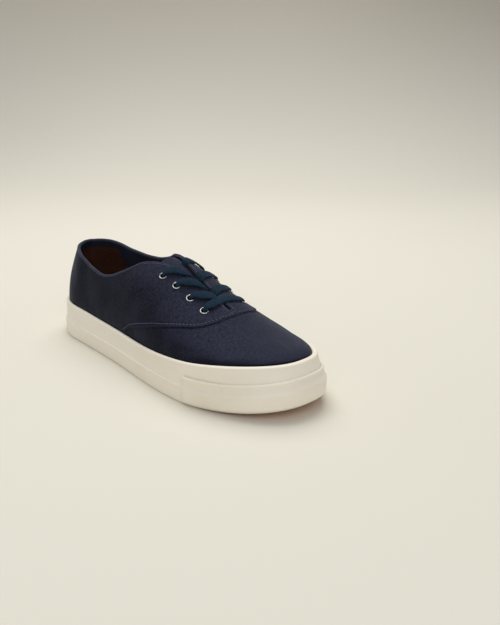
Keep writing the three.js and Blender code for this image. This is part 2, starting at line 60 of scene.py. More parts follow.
FOOTBED_BALL = 11.5
INSOLE_THICK = 4.0
TAPE_HEIGHT = 14.0
BUMPER_START = 70.0
BUMPER_HEIGHT = 22.5
EYELET_PITCH = 16.0
EYELET_FIRST = 8.5
EYELET_ROWS = 4
EYELET_SIDE = 21.0
LACE_WIDTH = 7.9
LACE_THICK = 1.3
THROAT_FRONT = 68.0
TREAD_DEPTH = 2.2
HALF = SHOE_LENGTH / 2
CENTRE = np.array([0.9, -1.46, 0.0])
SIDES = ("lateral", "medial")
SIGN = {"lateral": -1.0, "medial": 1.0}
TOE_WAY = np.array([1.0, 0.0, 0.0])
CORE_HEIGHT = 18.0
NESTED_STEPS = 22


def table(names, rows):
    """Rows of numbers as named columns."""
    columns = names.split()
    return {name: np.array([row[i] for row in rows], float) for i, name in enumerate(columns)}


EDGE = table("at lateral medial", [
    (0.0, 0.354, 0.332), (0.12, 0.365, 0.343), (0.35, 0.413, 0.338),
    (0.71, 0.521, 0.479), (0.85, 0.485, 0.445), (1.0, 0.448, 0.412),
])
HEEL_CAP = (0.145, 2.1)
TOE_CAP = {"lateral": (0.28, 2.48), "medial": (0.32, 2.35)}
TOE_SWING = 4.4
WALL_TOP = table("x z", [
    (-HALF, WALL_HEIGHT + 0.3),
    (0, WALL_HEIGHT - 4),
    (HALF, WALL_HEIGHT + TOE_SPRING),
])
RIDGE = table("x z y full bulge", [
    (-114, 1.2, 0, 1.54, 0.6), (-80, 1.165, 0, 1.58, 0.8), (-40, 1.09, 0.5, 1.75, 0.8),
    (-20, 1.04, 0.8, 1.82, 0.5), (0, 0.984, 1, 1.84, 0.4), (20, 0.91, 1.5, 1.8, 0.4),
    (40, 0.798, 2, 1.78, 0.6), (60, 0.695, 2.2, 1.72, 0.7), (80, 0.603, 2.4, 1.7, 0.7),
    (100, 0.538, 2.8, 1.7, 0.5), (122, 0.492, 3.4, 1.75, 0.4),
])
RIDGE["z"] = RIDGE["z"] * INSTEP_HEIGHT
FAN = table("x ridge", [
    (-144, -114), (-125, -104), (-95, -88), (-50, -50), (60, 60), (100, 94), (130, 112), (144, 120),
])
COLLAR = table("x lateral medial", [
    (-140, 0, 0), (-122, -2.5, -0.5), (-103, -8, -3), (-86, -12.5, -5.5),
    (-66, -15, -7), (-52, -12.5, -6.2), (-38, -6.5, -3.5), (-30, -2.2, -0.5),
    (-22, 3, 3.5), (-14, 10, 10), (-6, 24, 24),
])
THROAT = table("x lateral medial", [
    (-30, 23.5, 17.3), (-22, 20.6, 14.6), (-13, 17.2, 12.4), (-4, 14.0, 9.2),
    (4, 11.8, 5.6), (14, 10.2, 1.4), (26, 8.2, -1.2), (44, 6.0, -1.6),
    (60, 5.0, -1.4),
])


def curve(rows, key, value):
    """Smooth monotone curve through one column of a table."""
    x, y = rows[key], rows[value]
    step = np.diff(y) / np.diff(x)
    slope = np.zeros(len(x))
    slope[0], slope[-1] = step[0], step[-1]
    for i in range(1, len(x) - 1):
        if step[i - 1] * step[i] > 0:
            wa = 2 * (x[i + 1] - x[i]) + (x[i] - x[i - 1])
            wb = (x[i + 1] - x[i]) + 2 * (x[i] - x[i - 1])
            slope[i] = (wa + wb) / (wa / step[i - 1] + wb / step[i])

    def at(v):
        v = np.clip(np.asarray(v, float), x[0], x[-1])
        i = np.clip(np.searchsorted(x, v, side="right") - 1, 0, len(x) - 2)
        h = x[i + 1] - x[i]
        t = (v - x[i]) / h
        a = y[i] * (1 + 2 * t) * (1 - t) ** 2 + y[i + 1] * t * t * (3 - 2 * t)
        return a + slope[i] * h * t * (1 - t) ** 2 + slope[i + 1] * h * t * t * (t - 1)

    return at


edge_share = {s: curve(EDGE, "at", s) for s in SIDES}
wall_top = curve(WALL_TOP, "x", "z")
ridge_z = curve(RIDGE, "x", "z")
ridge_y = curve(RIDGE, "x", "y")
fullness = curve(RIDGE, "x", "full")
bulge = curve(RIDGE, "x", "bulge")
fan = curve(FAN, "x", "ridge")
collar_drop = {s: curve(COLLAR, "x", s) for s in SIDES}
throat_edge = {s: curve(THROAT, "x", s) for s in SIDES}


def smooth(v, lo, hi):
    t = np.clip((np.asarray(v, float) - lo) / (hi - lo), 0, 1)
    return t * t * (3 - 2 * t)


def spring_at(x):
    """How far the sole has lifted off the floor."""
    past = np.maximum(0, np.asarray(x, float) - SPRING_START)
    return TOE_SPRING * (past / (HALF - SPRING_START)) ** 2


def lean_at(x):
    """How far the top of the rubber wall leans in at the toe."""
    return TOE_LEAN * smooth(x, 70, 146)


def footbed(x):
    return FOOTBED_HEEL + (FOOTBED_BALL - FOOTBED_HEEL) * smooth(x, -60, 45) + spring_at(x)


def run_along(line):
    """Length covered at each point of a line."""
    return np.concatenate([[0], np.cumsum(np.linalg.norm(np.diff(line, axis=0), axis=1))])


def edge_raw(side, s):
    """The sole edge in plan, s from heel (0) to toe (1) along the shoe."""
    length, power = HEEL_CAP
    heel = np.where(s < length, 1 - s / length, 0)
    reach, toe_power = TOE_CAP[side]
    toe = np.where(s > 1 - reach, (s - 1 + reach) / reach, 0)
    cap = (1 - heel ** power) ** (1 / power) * np.maximum(0, 1 - toe ** toe_power) ** (1 / toe_power)
    swing = TOE_SWING * np.maximum(0, 2 * s - 1) ** 2
    y = swing + SIGN[side] * BALL_WIDTH * edge_share[side](s) * cap
    return np.stack([-HALF + SHOE_LENGTH * s, y], -1)


def edge_path(side):
    """The sole edge by its own length, mirrored past its two ends."""
    points = edge_raw(side, 0.5 - 0.5 * np.cos(np.linspace(0, math.pi, 2001)))
    run = run_along(points)
    run /= run[-1]

    def at(u):
        u = np.asarray(u, float)
        past = np.where(u < 0, -u, np.where(u > 1, 2 - u, u))
        x = np.interp(past, run, points[:, 0])
        y = np.interp(past, run, points[:, 1])
        y = np.where(u < 0, 2 * points[0, 1] - y, np.where(u > 1, 2 * points[-1, 1] - y, y))
        return np.stack([x, y], -1)

    return at


edge = {s: edge_path(s) for s in SIDES}
EDGE_LENGTH = 340.0


def edge_in(side, u, inset):
    """The sole edge moved inwards."""
    p = edge[side](u)
    t = edge[side](np.asarray(u) + 0.004) - edge[side](np.asarray(u) - 0.004)
    t /= np.linalg.norm(t, axis=-1, keepdims=True)
    s = SIGN[side]
    return np.stack([p[..., 0] + s * t[..., 1] * inset, p[..., 1] - s * t[..., 0] * inset], -1)


def canvas_foot(side, u):
    """Where the canvas meets the rubber wall, in plan."""
    return edge_in(side, u, UPPER_INSET + lean_at(edge[side](u)[..., 0]))


def ridge_x(u):
    """Where the rib from a place on the edge reaches the ridge."""
    return fan((canvas_foot("lateral", u)[..., 0] + canvas_foot("medial", u)[..., 0]) / 2)


def skin(side, u, f):
    """Skin of the last: u along the edge, f from the rubber wall (0) to the ridge (1)."""
    u, f = np.broadcast_arrays(np.asarray(u, float), np.asarray(f, float))
    foot = canvas_foot(side, u)
    rx = ridge_x(u)
    tx, ty, tz = rx, ridge_y(rx), ridge_z(rx)
    low = wall_top(foot[..., 0])
    n = fullness(rx)
    across = np.maximum(0, np.cos(f * math.pi / 2)) ** (2 / n)
    up = np.maximum(0, np.sin(f * math.pi / 2)) ** (2 / n)
    span = np.hypot(foot[..., 0] - tx, foot[..., 1] - ty)
    share = across + (bulge(rx) / span) * np.sin(math.pi * np.minimum(1, up * 1.15)) * (1 - up)
    return np.stack([
        tx + (foot[..., 0] - tx) * share,
        ty + (foot[..., 1] - ty) * share,
        low + (tz - low) * up,
    ], -1)


def unit(v):
    return v / np.maximum(1e-9, np.linalg.norm(v, axis=-1, keepdims=True))


def bisect(lo, hi, past, steps=26):
    """Where past(v) turns true, for arrays."""
    for _ in range(steps):
        mid = (lo + hi) / 2
        over = past(mid)
        lo, hi = np.where(over, lo, mid), np.where(over, mid, hi)
    return (lo + hi) / 2


def skin_side(side, x, y):
    """Place and normal of one side's skin over points in plan."""
    s = SIGN[side]

    def climb(u):
        def past_y(f):
            return s * (skin(side, u, f)[..., 1] - y) <= 0

        return bisect(np.zeros_like(u), np.ones_like(u), past_y, NESTED_STEPS)

    def past_x(u):
        return skin(side, u, climb(u))[..., 0] >= x

    u = bisect(np.full_like(x, 0.05), np.full_like(x, 0.98), past_x, NESTED_STEPS)
    f = climb(u)
    du = skin(side, u + 0.004, f) - skin(side, u - 0.004, f)
    df = skin(side, u, np.minimum(1, f + 0.01)) - skin(side, u, np.maximum(0, f - 0.01))
    n = unit(np.cross(du, df))
    return skin(side, u, f), np.where(n[..., 2:] < 0, -n, n)


def skin_over(x, y):
    """Place and normal of the skin over points in plan; the normal is eased across the ridge."""
    x, y = np.broadcast_arrays(np.asarray(x, float), np.asarray(y, float))
    x, y = x.copy(), y.copy()
    lp, ln = skin_side("lateral", x, np.minimum(y, ridge_y(x) - 0.02))
    mp, mn = skin_side("medial", x, np.maximum(y, ridge_y(x) + 0.02))
    near = (y < ridge_y(x))[..., None]
    w = smooth(y - ridge_y(x), -5, 5)[..., None]
    p = np.where(near, lp, mp)
    return np.stack([x, y, p[..., 2]], -1), unit(ln * (1 - w) + mn * w)


# ---- the whole rib, over the ridge ----
def rib(u, g):
    """g from the lateral wall (0) over the ridge (1) to the medial wall (2)."""
    g = np.asarray(g, float)
    near = skin("lateral", u, np.clip(g, 0, 1))
    far = skin("medial", u, np.clip(2 - g, 0, 1))
    return np.where((g <= 1)[..., None], near, far)


def rib_normal(u, g):
    """Normal of the whole rib, not yet turned outwards."""
    du = rib(u + 0.003, g) - rib(u - 0.003, g)
    dg = rib(u, np.minimum(2, g + 0.012)) - rib(u, np.maximum(0, g - 0.012))
    return unit(np.cross(du, dg))


# ---- openings of the upper ----
SLIT_RADIUS = (THROAT["lateral"][-1] + THROAT["medial"][-1]) / 2


def throat_room(side, x):
    """Distance from the ridge to the throat's edge on one side, closed with a round front."""
    ahead = np.clip(x - (THROAT_FRONT - SLIT_RADIUS), 0, SLIT_RADIUS)
    nose = np.sqrt(np.maximum(0, SLIT_RADIUS ** 2 - ahead ** 2)) - SLIT_RADIUS
    return throat_edge[side](x) + nose - 2 * np.maximum(0, x - THROAT_FRONT)


def opening_level(p):
    """Over 0 where a point of the skin lies in the collar or the throat."""
    x, y, z = p[..., 0], p[..., 1], p[..., 2]
    across = smooth(y, -12, 12)
    rim = HEEL_HEIGHT + collar_drop["lateral"](x) * (1 - across) + collar_drop["medial"](x) * across
    aside = y - ridge_y(x)
    inside = np.minimum(throat_room("lateral", x) + aside, throat_room("medial", x) - aside)
    inside = np.minimum(inside, (x + 34) * 1.5)
    blend = 0.8 * smooth(-x, -20, 20) + 0.05
    return blend * np.logaddexp((z - rim) / blend, inside / blend)


# ---- sewn features of the canvas ----
# Edge of the quarter over the vamp, alike on both sides.
SEAM = table("x share", [
    (-30, -0.08), (-21, 0.013), (-11.5, 0.087), (9.3, 0.174), (32.3, 0.284), (50, 0.398),
    (60, 0.475), (66.7, 0.56), (71.3, 0.69), (73.4, 0.86), (74.2, 1.03),
])
seam_share = curve(SEAM, "x", "share")
RIB_LENGTH = 74.0


def past_seam(x, f):
    """Distance in mm from the quarter's edge, over 0 on the quarter."""
    steep = (seam_share(x + 0.2) - seam_share(x - 0.2)) / 0.4 * RIB_LENGTH
    off = (f - seam_share(x)) * RIB_LENGTH / np.sqrt(1 + steep ** 2)
    front = SEAM["x"][-1]
    return np.where(x > front, -np.maximum(x - front, -off), off)


# Soft folds: side, x and share of the rib at both ends, depth and half width in mm.
FOLDS = [
    ("lateral", -104, 0.50, -78, 0.12, -0.4, 9.0),
    ("lateral", -76, 0.20, -52, 0.52, 0.35, 9.0),
    ("lateral", -56, 0.10, -32, 0.34, -0.35, 9.0),
    ("lateral", -34, 0.52, -8, 0.74, -0.6, 5.0),
    ("lateral", -22, 0.34, 6, 0.60, 0.5, 7.0),
    ("lateral", 14, 0.22, 30, 0.62, -0.5, 6.0),
    ("lateral", 46, 0.30, 58, 0.60, 0.4, 6.0),
    ("lateral", 40, 0.12, 74, 0.20, -0.5, 5.5),
    ("lateral", 84, 0.60, 98, 0.30, -0.5, 7.0),
    ("lateral", 96, 0.12, 116, 0.34, 0.4, 7.0),
    ("lateral", -126, 0.36, -108, 0.20, -0.5, 6.0),
    ("medial", -96, 0.48, -74, 0.12, -0.45, 8.0),
    ("medial", -56, 0.10, -38, 0.40, -0.7, 7.0),
    ("medial", -26, 0.30, 4, 0.58, 0.5, 7.0),
    ("medial", 18, 0.20, 34, 0.56, -0.5, 6.0),
    ("medial", 50, 0.14, 78, 0.28, -0.5, 6.0),
    ("medial", 88, 0.56, 104, 0.26, -0.5, 7.0),
    ("medial", -124, 0.38, -106, 0.22, 0.5, 6.0),
]


def folds(side, x, f):
    """Height of the soft troughs and ridges."""
    total = np.zeros_like(x)
    for which, x0, f0, x1, f1, height, wide in FOLDS:
        if which != side:
            continue
        ax, ay = x1 - x0, (f1 - f0) * RIB_LENGTH
        px, py = x - x0, (f - f0) * RIB_LENGTH
        t = np.clip((px * ax + py * ay) / (ax * ax + ay * ay), 0, 1)
        d2 = (px - t * ax) ** 2 + (py - t * ay) ** 2
        total += height * np.exp(-d2 / wide ** 2) * (0.55 + 0.45 * np.sin(math.pi * t))
    return total


def waviness(x, f):
    """The faint unevenness of cloth pulled over a last."""
    v = f * RIB_LENGTH
    a = np.sin(x / 9.0 + 0.7 * np.sin(v / 13.0)) * np.sin(v / 11.0 + 1.1)
    b = np.sin(x / 4.7 + v / 7.3) * np.sin(v / 5.9 - x / 12.0)
    return 0.13 * a + 0.06 * b


def eyelet_plan(side, row):
    """Middle of an eyelet in plan."""
    x = EYELET_FIRST + EYELET_PITCH * row
    return x, float(ridge_y(x)) + SIGN[side] * EYELET_SIDE


def relief(side, u, f, p):
    """How far the canvas stands off the last's skin, in mm.

    The quarter lies on the vamp and is stitched behind its edge, a narrow strip covers the
    heel seam, the eyelets sit in shallow dents, and the canvas gathers over the wall.
    """
    x, y = p[..., 0], p[..., 1]
    off = past_seam(x, f)
    height = 0.6 * smooth(off, -0.4, 0.4)
    height -= 0.2 * np.exp(-((off - 2.3) / 0.7) ** 2)
    height += 0.14 * np.exp(-((off - 0.9) / 0.8) ** 2)
    height -= 0.18 * np.exp(-((off + 1.0) / 0.7) ** 2)
    heel = u * EDGE_LENGTH
    height += 0.55 * (1 - smooth(heel, 8.2, 9.2))
    height -= 0.15 * np.exp(-((heel - 7) / 0.6) ** 2)
    for row in range(EYELET_ROWS):
        ex, ey = eyelet_plan(side, row)
        height -= 0.35 * np.exp(-((x - ex) ** 2 + (y - ey) ** 2) / 30.0)
    calm = smooth(f, 0.0, 0.08)
    gather = 0.16 * np.sin(x / 2.1) * np.exp(-f * RIB_LENGTH / 3.0)
    return height + (folds(side, x, f) + waviness(x, f)) * calm + gather * calm


def eyelet_ring(side, row, radius, points):
    """Middle and normal of an eyelet on the skin, and a ring of points round it."""
    x, y = eyelet_plan(side, row)
    p, n = skin_over(np.array([x]), np.array([y]))
    a = unit(np.cross(n[0], TOE_WAY))
    b = np.cross(n[0], a)
    q = np.linspace(0, 2 * math.pi, points, endpoint=False)[:, None]
    return p[0], n[0], (a * np.cos(q) + b * np.sin(q)) * radius


def on_cloth(side, u, f, p, n):
    """Points of the skin lifted to the outer face of the canvas."""
    return p + n * (relief(side, u, f, p) * smooth(f, 0, 0.05))[..., None]


def turned(normal, towards):
    """Normals turned to the side that towards points to."""
    return np.where((normal * towards).sum(-1, keepdims=True) < 0, -normal, normal)


# ---- meshes ----
WELD_REACH = 0.00001


def to_frame(points):
    """From the shoe's own mm to the frame's metres."""
    return (np.asarray(points, float) - CENTRE) * 0.001


def add_mesh(name, points, faces, materials, picks=None, uv=None, sharp=None):
    """A mesh from points in mm.

    picks is a material number for each face, uv a place on the cloth in mm for each point.
    """
    mesh = bpy.data.meshes.new(name)
    mesh.from_pydata(to_frame(points).tolist(), [], [tuple(int(i) for i in f) for f in faces])
    for m in materials:
        mesh.materials.append(m)
    if picks is not None:
        mesh.polygons.foreach_set("material_index", np.asarray(picks, np.int32))
    if uv is not None:
        layer = mesh.uv_layers.new(name="cloth")
        loops = np.zeros(len(mesh.loops), np.int32)
        mesh.loops.foreach_get("vertex_index", loops)
        layer.data.foreach_set("uv", np.asarray(uv, np.float32)[loops].ravel())
    mesh.polygons.foreach_set("use_smooth", np.ones(len(mesh.polygons), bool))
    mesh.validate()
    obj = bpy.data.objects.new(name, mesh)
    bpy.context.scene.collection.objects.link(obj)
    if sharp is not None:
        mesh.set_sharp_from_angle(angle=math.radians(sharp))
    return obj


def weld(obj):
    """Joins points that lie on each other."""
    bm = bmesh.new()
    bm.from_mesh(obj.data)
    bmesh.ops.remove_doubles(bm, verts=bm.verts, dist=WELD_REACH)
    bmesh.ops.dissolve_degenerate(bm, dist=WELD_REACH * 0.2, edges=bm.edges)
    bmesh.ops.recalc_face_normals(bm, faces=bm.faces)
    bm.to_mesh(obj.data)
    bm.free()
    return obj


def tube_faces(rows, columns, closed):
    """Quads round a tube whose points are laid out ring by ring."""
    i, j = np.meshgrid(np.arange(rows if closed else rows - 1), np.arange(columns), indexing="ij")
    a = i * columns + j
    b = i * columns + (j + 1) % columns
    c = ((i + 1) % rows) * columns + (j + 1) % columns
    d = ((i + 1) % rows) * columns + j
    return np.stack([a, b, c, d], -1).reshape(-1, 4)


def place(obj, slot, *nodes):
    """Hands a piece to the frame under the root body and hides the nodes that it stands for; slot is
    not used.
    """
    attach(obj, "root")
    if nodes:
        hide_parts(*nodes)
    return obj


def bar_mesh(rows, closed=False):
    """Points and faces of a bar lofted through equal sections, either a ring or with flat ends."""
    n = len(rows[0])
    points = np.concatenate(rows)
    faces = [tuple(f) for f in tube_faces(len(rows), n, closed)]
    if not closed:
        last = (len(rows) - 1) * n
        faces.append(tuple(range(n - 1, -1, -1)))
        faces.append(tuple(range(last, last + n)))
    return points, faces


def through(points, count):
    """Smooth line through given points (Catmull-Rom), evenly stepped."""
    p = np.asarray(points, float)
    p = np.vstack([2 * p[0] - p[1], p, 2 * p[-1] - p[-2]])
    out = []
    for i in range(1, len(p) - 2):
        t = np.linspace(0, 1, 24, endpoint=False)[:, None]
        a, b, c, d = p[i - 1], p[i], p[i + 1], p[i + 2]
        out.append(0.5 * (2 * b + (c - a) * t + (2 * a - 5 * b + 4 * c - d) * t ** 2
                          + (3 * b - a - 3 * c + d) * t ** 3))
    line = np.vstack(out + [p[-2][None]])
    run = run_along(line[:, :3])
    at = np.linspace(0, run[-1], count)
    return np.stack([np.interp(at, run, line[:, k]) for k in range(line.shape[1])], -1)


def merge(parts):
    """Points and faces of several solids as one list."""
    points, faces, at = [], [], 0
    for p, f in parts:
        points.append(p)
        faces += [tuple(int(i) + at for i in face) for face in f]
        at += len(p)
    return np.concatenate(points), faces


# ---- materials ----
class Graph:
    """Short way of writing a node material."""

    def __init__(self, name):
        self.material = bpy.data.materials.new(name)
        self.material.use_nodes = True
        self.tree = self.material.node_tree
        self.shader = next(n for n in self.tree.nodes if n.type == "BSDF_PRINCIPLED")
        self.place = self.add("ShaderNodeTexCoord").outputs["Object"]

    def add(self, kind, settings=None, **inputs):
        """A new node with its settings and inputs."""
        n = self.tree.nodes.new(kind)
        for key, value in (settings or {}).items():
            setattr(n, key, value)
        for key, value in inputs.items():
            self.feed(n.inputs[key.replace("_", " ")], value)
        return n

    def feed(self, socket, value):
        """Links a socket to another's output, or sets its value."""
        if isinstance(value, bpy.types.NodeSocket):
            self.tree.links.new(value, socket)
        else:
            socket.default_value = value

    def noise(self, scale, detail=3.0, rough=0.55, place=None):
        n = self.add("ShaderNodeTexNoise", None, Vector=place or self.place, Scale=scale,
                     Detail=detail, Roughness=rough)
        return n.outputs[0]

    def stretch(self, place, by):
        n = self.add("ShaderNodeMapping", None, Vector=place, Scale=by)
        return n.outputs[0]

    def span(self, value, lo, hi, to_lo=0.0, to_hi=1.0):
        """Smooth step of a value from lo to hi."""
        n = self.add("ShaderNodeMapRange", {"interpolation_type": "SMOOTHSTEP"}, Value=value,
                     From_Min=lo, From_Max=hi, To_Min=to_lo, To_Max=to_hi)
        return n.outputs[0]

    def math(self, operation, a, b):
        n = self.add("ShaderNodeMath", {"operation": operation})
        self.feed(n.inputs[0], a)
        self.feed(n.inputs[1], b)
        return n.outputs[0]

    def times(self, a, b):
        return self.math("MULTIPLY", a, b)

    def plus(self, a, b):
        return self.math("ADD", a, b)

    def mix(self, share, a, b):
        n = self.add("ShaderNodeMix", {"data_type": "RGBA"})
        self.feed(n.inputs[0], share)
        self.feed(n.inputs[6], a)
        self.feed(n.inputs[7], b)
        return n.outputs[2]

    def height(self, value, distance, strength=1.0):
        n = self.add("ShaderNodeBump", None, Height=value, Distance=distance, Strength=strength)
        self.feed(self.shader.inputs["Normal"], n.outputs[0])

    def parts(self):
        """The place's x, y and z in metres."""
        split = self.add("ShaderNodeSeparateXYZ", None, Vector=self.place)
        return split.outputs[0], split.outputs[1], split.outputs[2]

    def finish(self, colour, rough, **sockets):
        """Sets the shader and gives the finished material."""
        self.feed(self.shader.inputs["Base Color"], colour)
        self.feed(self.shader.inputs["Roughness"], rough)
        for key, value in sockets.items():
            self.shader.inputs[key.replace("_", " ")].default_value = value
        return self.material


def rgb(r, g, b):
    """Colour given the way it looks on a screen, 0 to 255."""
    def lin(v):
        v /= 255
        return v / 12.92 if v <= 0.04045 else ((v + 0.055) / 1.055) ** 2.4
    return (lin(r), lin(g), lin(b), 1.0)


CLOTH_BUMP = 0.00022
RUBBER_BUMP = 0.0001
RUBBER_SPOT = rgb(128, 112, 86)


def cloth(name, dark, mid, light, weave, sheen=0.0, wear=0.5, lit_top_tone=None):
    """Woven cloth: yarn from dark to mid, worn patches in light, and a weave of so many mm.

    The last argument is the tone of faces that look up: a painted highlight, lighter where light falls
    from above.
    """
    g = Graph(name)
    flat = g.add("ShaderNodeUVMap", {"uv_map": "cloth"}).outputs[0]
    slub = g.noise(1.0, 3, 0.7, g.stretch(flat, (0.3, 0.9, 1)))
    warp = g.noise(1.0, 3, 0.7, g.stretch(flat, (0.9, 0.25, 1)))
    blotch = g.noise(38, 3, 0.5)
    uv = g.add("ShaderNodeSeparateXYZ", None, Vector=flat)
    across = g.math("SINE", g.times(uv.outputs[0], 2 * math.pi / weave), 0.0)
    along = g.math("SINE", g.times(uv.outputs[1], 2 * math.pi / weave), 0.0)
    knit = g.times(across, along)
    grain = g.plus(g.times(slub, 0.5), g.times(warp, 0.5))
    tone = g.mix(g.span(grain, 0.36, 0.64), dark, mid)
    tone = g.mix(g.times(g.span(blotch, 0.42, 0.72), wear), tone, light)
    # Painted highlight: faces that look up are lightened, as if lit from above.
    if lit_top_tone:
        normal = g.add("ShaderNodeNewGeometry").outputs["Normal"]
        facing = g.add("ShaderNodeSeparateXYZ", None, Vector=normal)
        upward = g.span(facing.outputs[2], 0.3, 0.95, 0.0, 0.95)
        top_light = g.times(upward, g.span(grain, 0.34, 0.66, 0.2, 1.0))
        tone = g.mix(top_light, tone, lit_top_tone)
    raised = g.plus(g.times(knit, 0.25), g.times(grain, 1.4))
    g.height(raised, CLOTH_BUMP, 0.8)
    return g.finish(tone, 0.8, Sheen_Weight=sheen, Sheen_Roughness=0.3,
                    Sheen_Tint=(0.8, 0.84, 1.0, 1.0), Specular_IOR_Level=0.08)


def rubber(name, clean, darker_tone, amount, rough):
    """Moulded rubber with broad soiling, streaks, fine spots, and a tone that turns darker towards the
    floor.
    """
    g = Graph(name)
    height = g.parts()[2]
    broad = g.noise(14, 4, 0.6)
    fine = g.noise(160, 4, 0.65)
    streak = g.noise(60, 3, 0.6, g.stretch(g.place, (0.35, 0.35, 2.4)))
    # Darker towards the floor, over the lowest 12 mm of the part.
    low = g.span(height, 0.0, 0.012, 1.0, 0.0)
    darkening = g.times(g.span(broad, 0.44, 0.72), amount)
    darkening = g.plus(darkening, g.times(g.span(streak, 0.56, 0.76), amount * 0.7))
    darkening = g.plus(darkening, g.times(low, amount * 0.8))
    tone = g.mix(g.math("MINIMUM", darkening, 1.0), clean, darker_tone)
    spots = g.times(g.span(fine, 0.66, 0.74), amount * 0.5)
    tone = g.mix(spots, tone, RUBBER_SPOT)
    g.height(fine, RUBBER_BUMP, 0.5)
    gloss = g.span(broad, 0.3, 0.7, rough - 0.06, rough + 0.1)
    return g.finish(tone, gloss, Specular_IOR_Level=0.4)


def metal(name):
    """Plated metal with a faint scuff."""
    g = Graph(name)
    scuff = g.noise(420, 3, 0.6)
    return g.finish(rgb(176, 176, 176), g.span(scuff, 0.4, 0.7, 0.2, 0.34), Metallic=1.0)


# The canvas's last tone is a painted highlight on faces that look up.
canvas = cloth("canvas_navy", rgb(7, 8, 14), rgb(30, 32, 46), rgb(36, 38, 54), 1.0, 0.22,
               lit_top_tone=rgb(53, 55, 73))
# The binding's tones are lighter than the canvas: a painted highlight along the rim's fold.
binding = cloth("binding_navy", rgb(44, 45, 58), rgb(58, 60, 76), rgb(66, 68, 84), 0.8, 0.25)
lining = cloth("lining_navy", rgb(30, 32, 46), rgb(38, 41, 58), rgb(46, 49, 66), 1.0, 0.1)
counter = cloth("lining_brown", rgb(58, 32, 23), rgb(76, 45, 33), rgb(90, 58, 45), 0.9, 0.05)
lace = cloth("lace_cotton", rgb(15, 29, 41), rgb(30, 50, 67), rgb(37, 59, 77), 1.3, 0.1, 0.3)
insole_cloth = cloth("insole_brown", rgb(48, 33, 27), rgb(58, 41, 33), rgb(68, 50, 40), 1.0)
thread = cloth("thread_blue", rgb(78, 84, 106), rgb(98, 104, 126), rgb(108, 114, 136), 0.5)
white = rubber("rubber_white", rgb(246, 238, 222), rgb(230, 218, 196), 0.25, 0.4)
bumper_white = rubber("rubber_bumper", rgb(244, 236, 220), rgb(226, 213, 190), 0.3, 0.4)
gum = rubber("rubber_gum", rgb(222, 152, 66), rgb(176, 118, 54), 0.5, 0.6)
steel = metal("eyelet_steel")

# ---- upper ----
COLUMNS = 330
ROWS = 84
LINING_ROWS = 30
HEM = (12, 6)
COUNTER_END = -112.0
COUNTER_TOP = 58.0
COLLAR_BAND = 7.0
RIDGE_ROUNDS = 2.2
TIP_ROUNDS = 160
TIP_RIBS = 9
HOLE_RADIUS = 2.6
HOLE_REACH = (-5.0, 4.0)
HOLE_POINTS = 32


def columns_of():
    """Ribs from heel to toe, closer together round the front of the throat."""
    even = np.linspace(0, 1, COLUMNS)
    near = np.interp(np.arange(THROAT_FRONT - 3.6, THROAT_FRONT + 0.6, 0.22), ridge_x(even), even)
    return np.unique(np.round(np.concatenate([even, near]), 7))


def rim_place(u, start, best):
    """Place over a rib where the opening begins, from start on towards best."""
    one = np.array([u])
    return bisect(np.array([start]), np.array([best]), lambda g: opening_level(rib(one, g)) > 0)[0]


def rim_shares(us):
    """Where each rib meets the opening: near and far place over it, and whether it is open."""
    near, far, is_open = [], [], []
    grid = np.linspace(0.3, 1.3, 1001)
    for u in us:
        level = opening_level(rib(np.full_like(grid, u), grid))
        best = grid[int(np.argmax(level))]
        if level.max() > 0 and u < 0.9:
            near.append(rim_place(u, 0.0, best))
            far.append(rim_place(u, 2.0, best))
            is_open.append(True)
        else:
            rx = float(ridge_x(np.array([u]))[0])
            slit_middle = -(THROAT["lateral"][-1] - THROAT["medial"][-1]) / 2
            drift = slit_middle * (1 - float(smooth(rx, 68, 100)))
            ribs = rib(np.full_like(grid, u), grid)
            d = ribs[:, 1] - ridge_y(rx)
            g = float(np.interp(drift, d, grid))
            near.append(g)
            far.append(g)
            is_open.append(False)
    return np.array(near), np.array(far), np.array(is_open)


def side_sheet(side, us, ends, count, depth=0.0):
    """Points and outward normals of one side of the canvas, wall to rim."""
    t = np.linspace(0, 1, count)
    u = np.repeat(us[:, None], count, 1)
    if side == "lateral":
        g = ends[:, None] * t[None]
        f = g
    else:
        f = (2 - ends)[:, None] * t[None]
        g = 2 - f
    p = rib(u, g)
    n = rib_normal(u, g)
    core = np.stack([np.clip(p[..., 0], -100, 100), 0 * u, 0 * u + CORE_HEIGHT], -1)
    n = turned(n, p - core)
    return on_cloth(side, u, f, p, n) - n * depth, n


def ease(sheet, soft, rounds):
    """Evens a sheet along its first axis, as far as soft (0 to 1) lets each point go."""
    for _ in range(rounds):
        middle = (sheet[:-2] + sheet[2:]) / 2
        sheet[1:-1] += 0.5 * soft[1:-1, :, None] * (middle - sheet[1:-1])


def ease_toe(sheets):
    """Evens both sides over the closed ridge and round the toe's tip, and joins them."""
    for i in (0, -1):
        shared = (sheets["lateral"][i] + sheets["medial"][i]) / 2
        sheets["lateral"][i] = shared
        sheets["medial"][i] = shared
    ribs, count = sheets["lateral"].shape[:2]
    over = np.concatenate([sheets["lateral"], sheets["medial"][:, -2::-1]], 1)
    off_ridge = (np.arange(2 * count - 1) - (count - 1)) / (count * 0.3)
    toe_part = smooth(ridge_x(us), 72, 92) * closed
    soft = np.exp(-off_ridge ** 2)[:, None] * toe_part[None]
    ease(over.swapaxes(0, 1), soft, int(count * RIDGE_ROUNDS))
    sheets["lateral"] = over[:, :count]
    sheets["medial"][closed] = over[closed, :count - 2:-1]
    whole = np.concatenate([sheets["lateral"], sheets["medial"][-2::-1]], 0)
    off_tip = (np.arange(2 * ribs - 1) - (ribs - 1)) / TIP_RIBS
    soft = np.exp(-off_tip ** 2)[:, None] * smooth(np.linspace(0, 1, count), 0.02, 0.3)[None]
    ease(whole, soft, TIP_ROUNDS)
    sheets["lateral"] = whole[:ribs]
    sheets["medial"] = whole[:ribs - 2:-1].copy()
    join = (sheets["lateral"][closed, -1] + sheets["medial"][closed, -1]) / 2
    for side in SIDES:
        sheets[side][closed, -1] = join


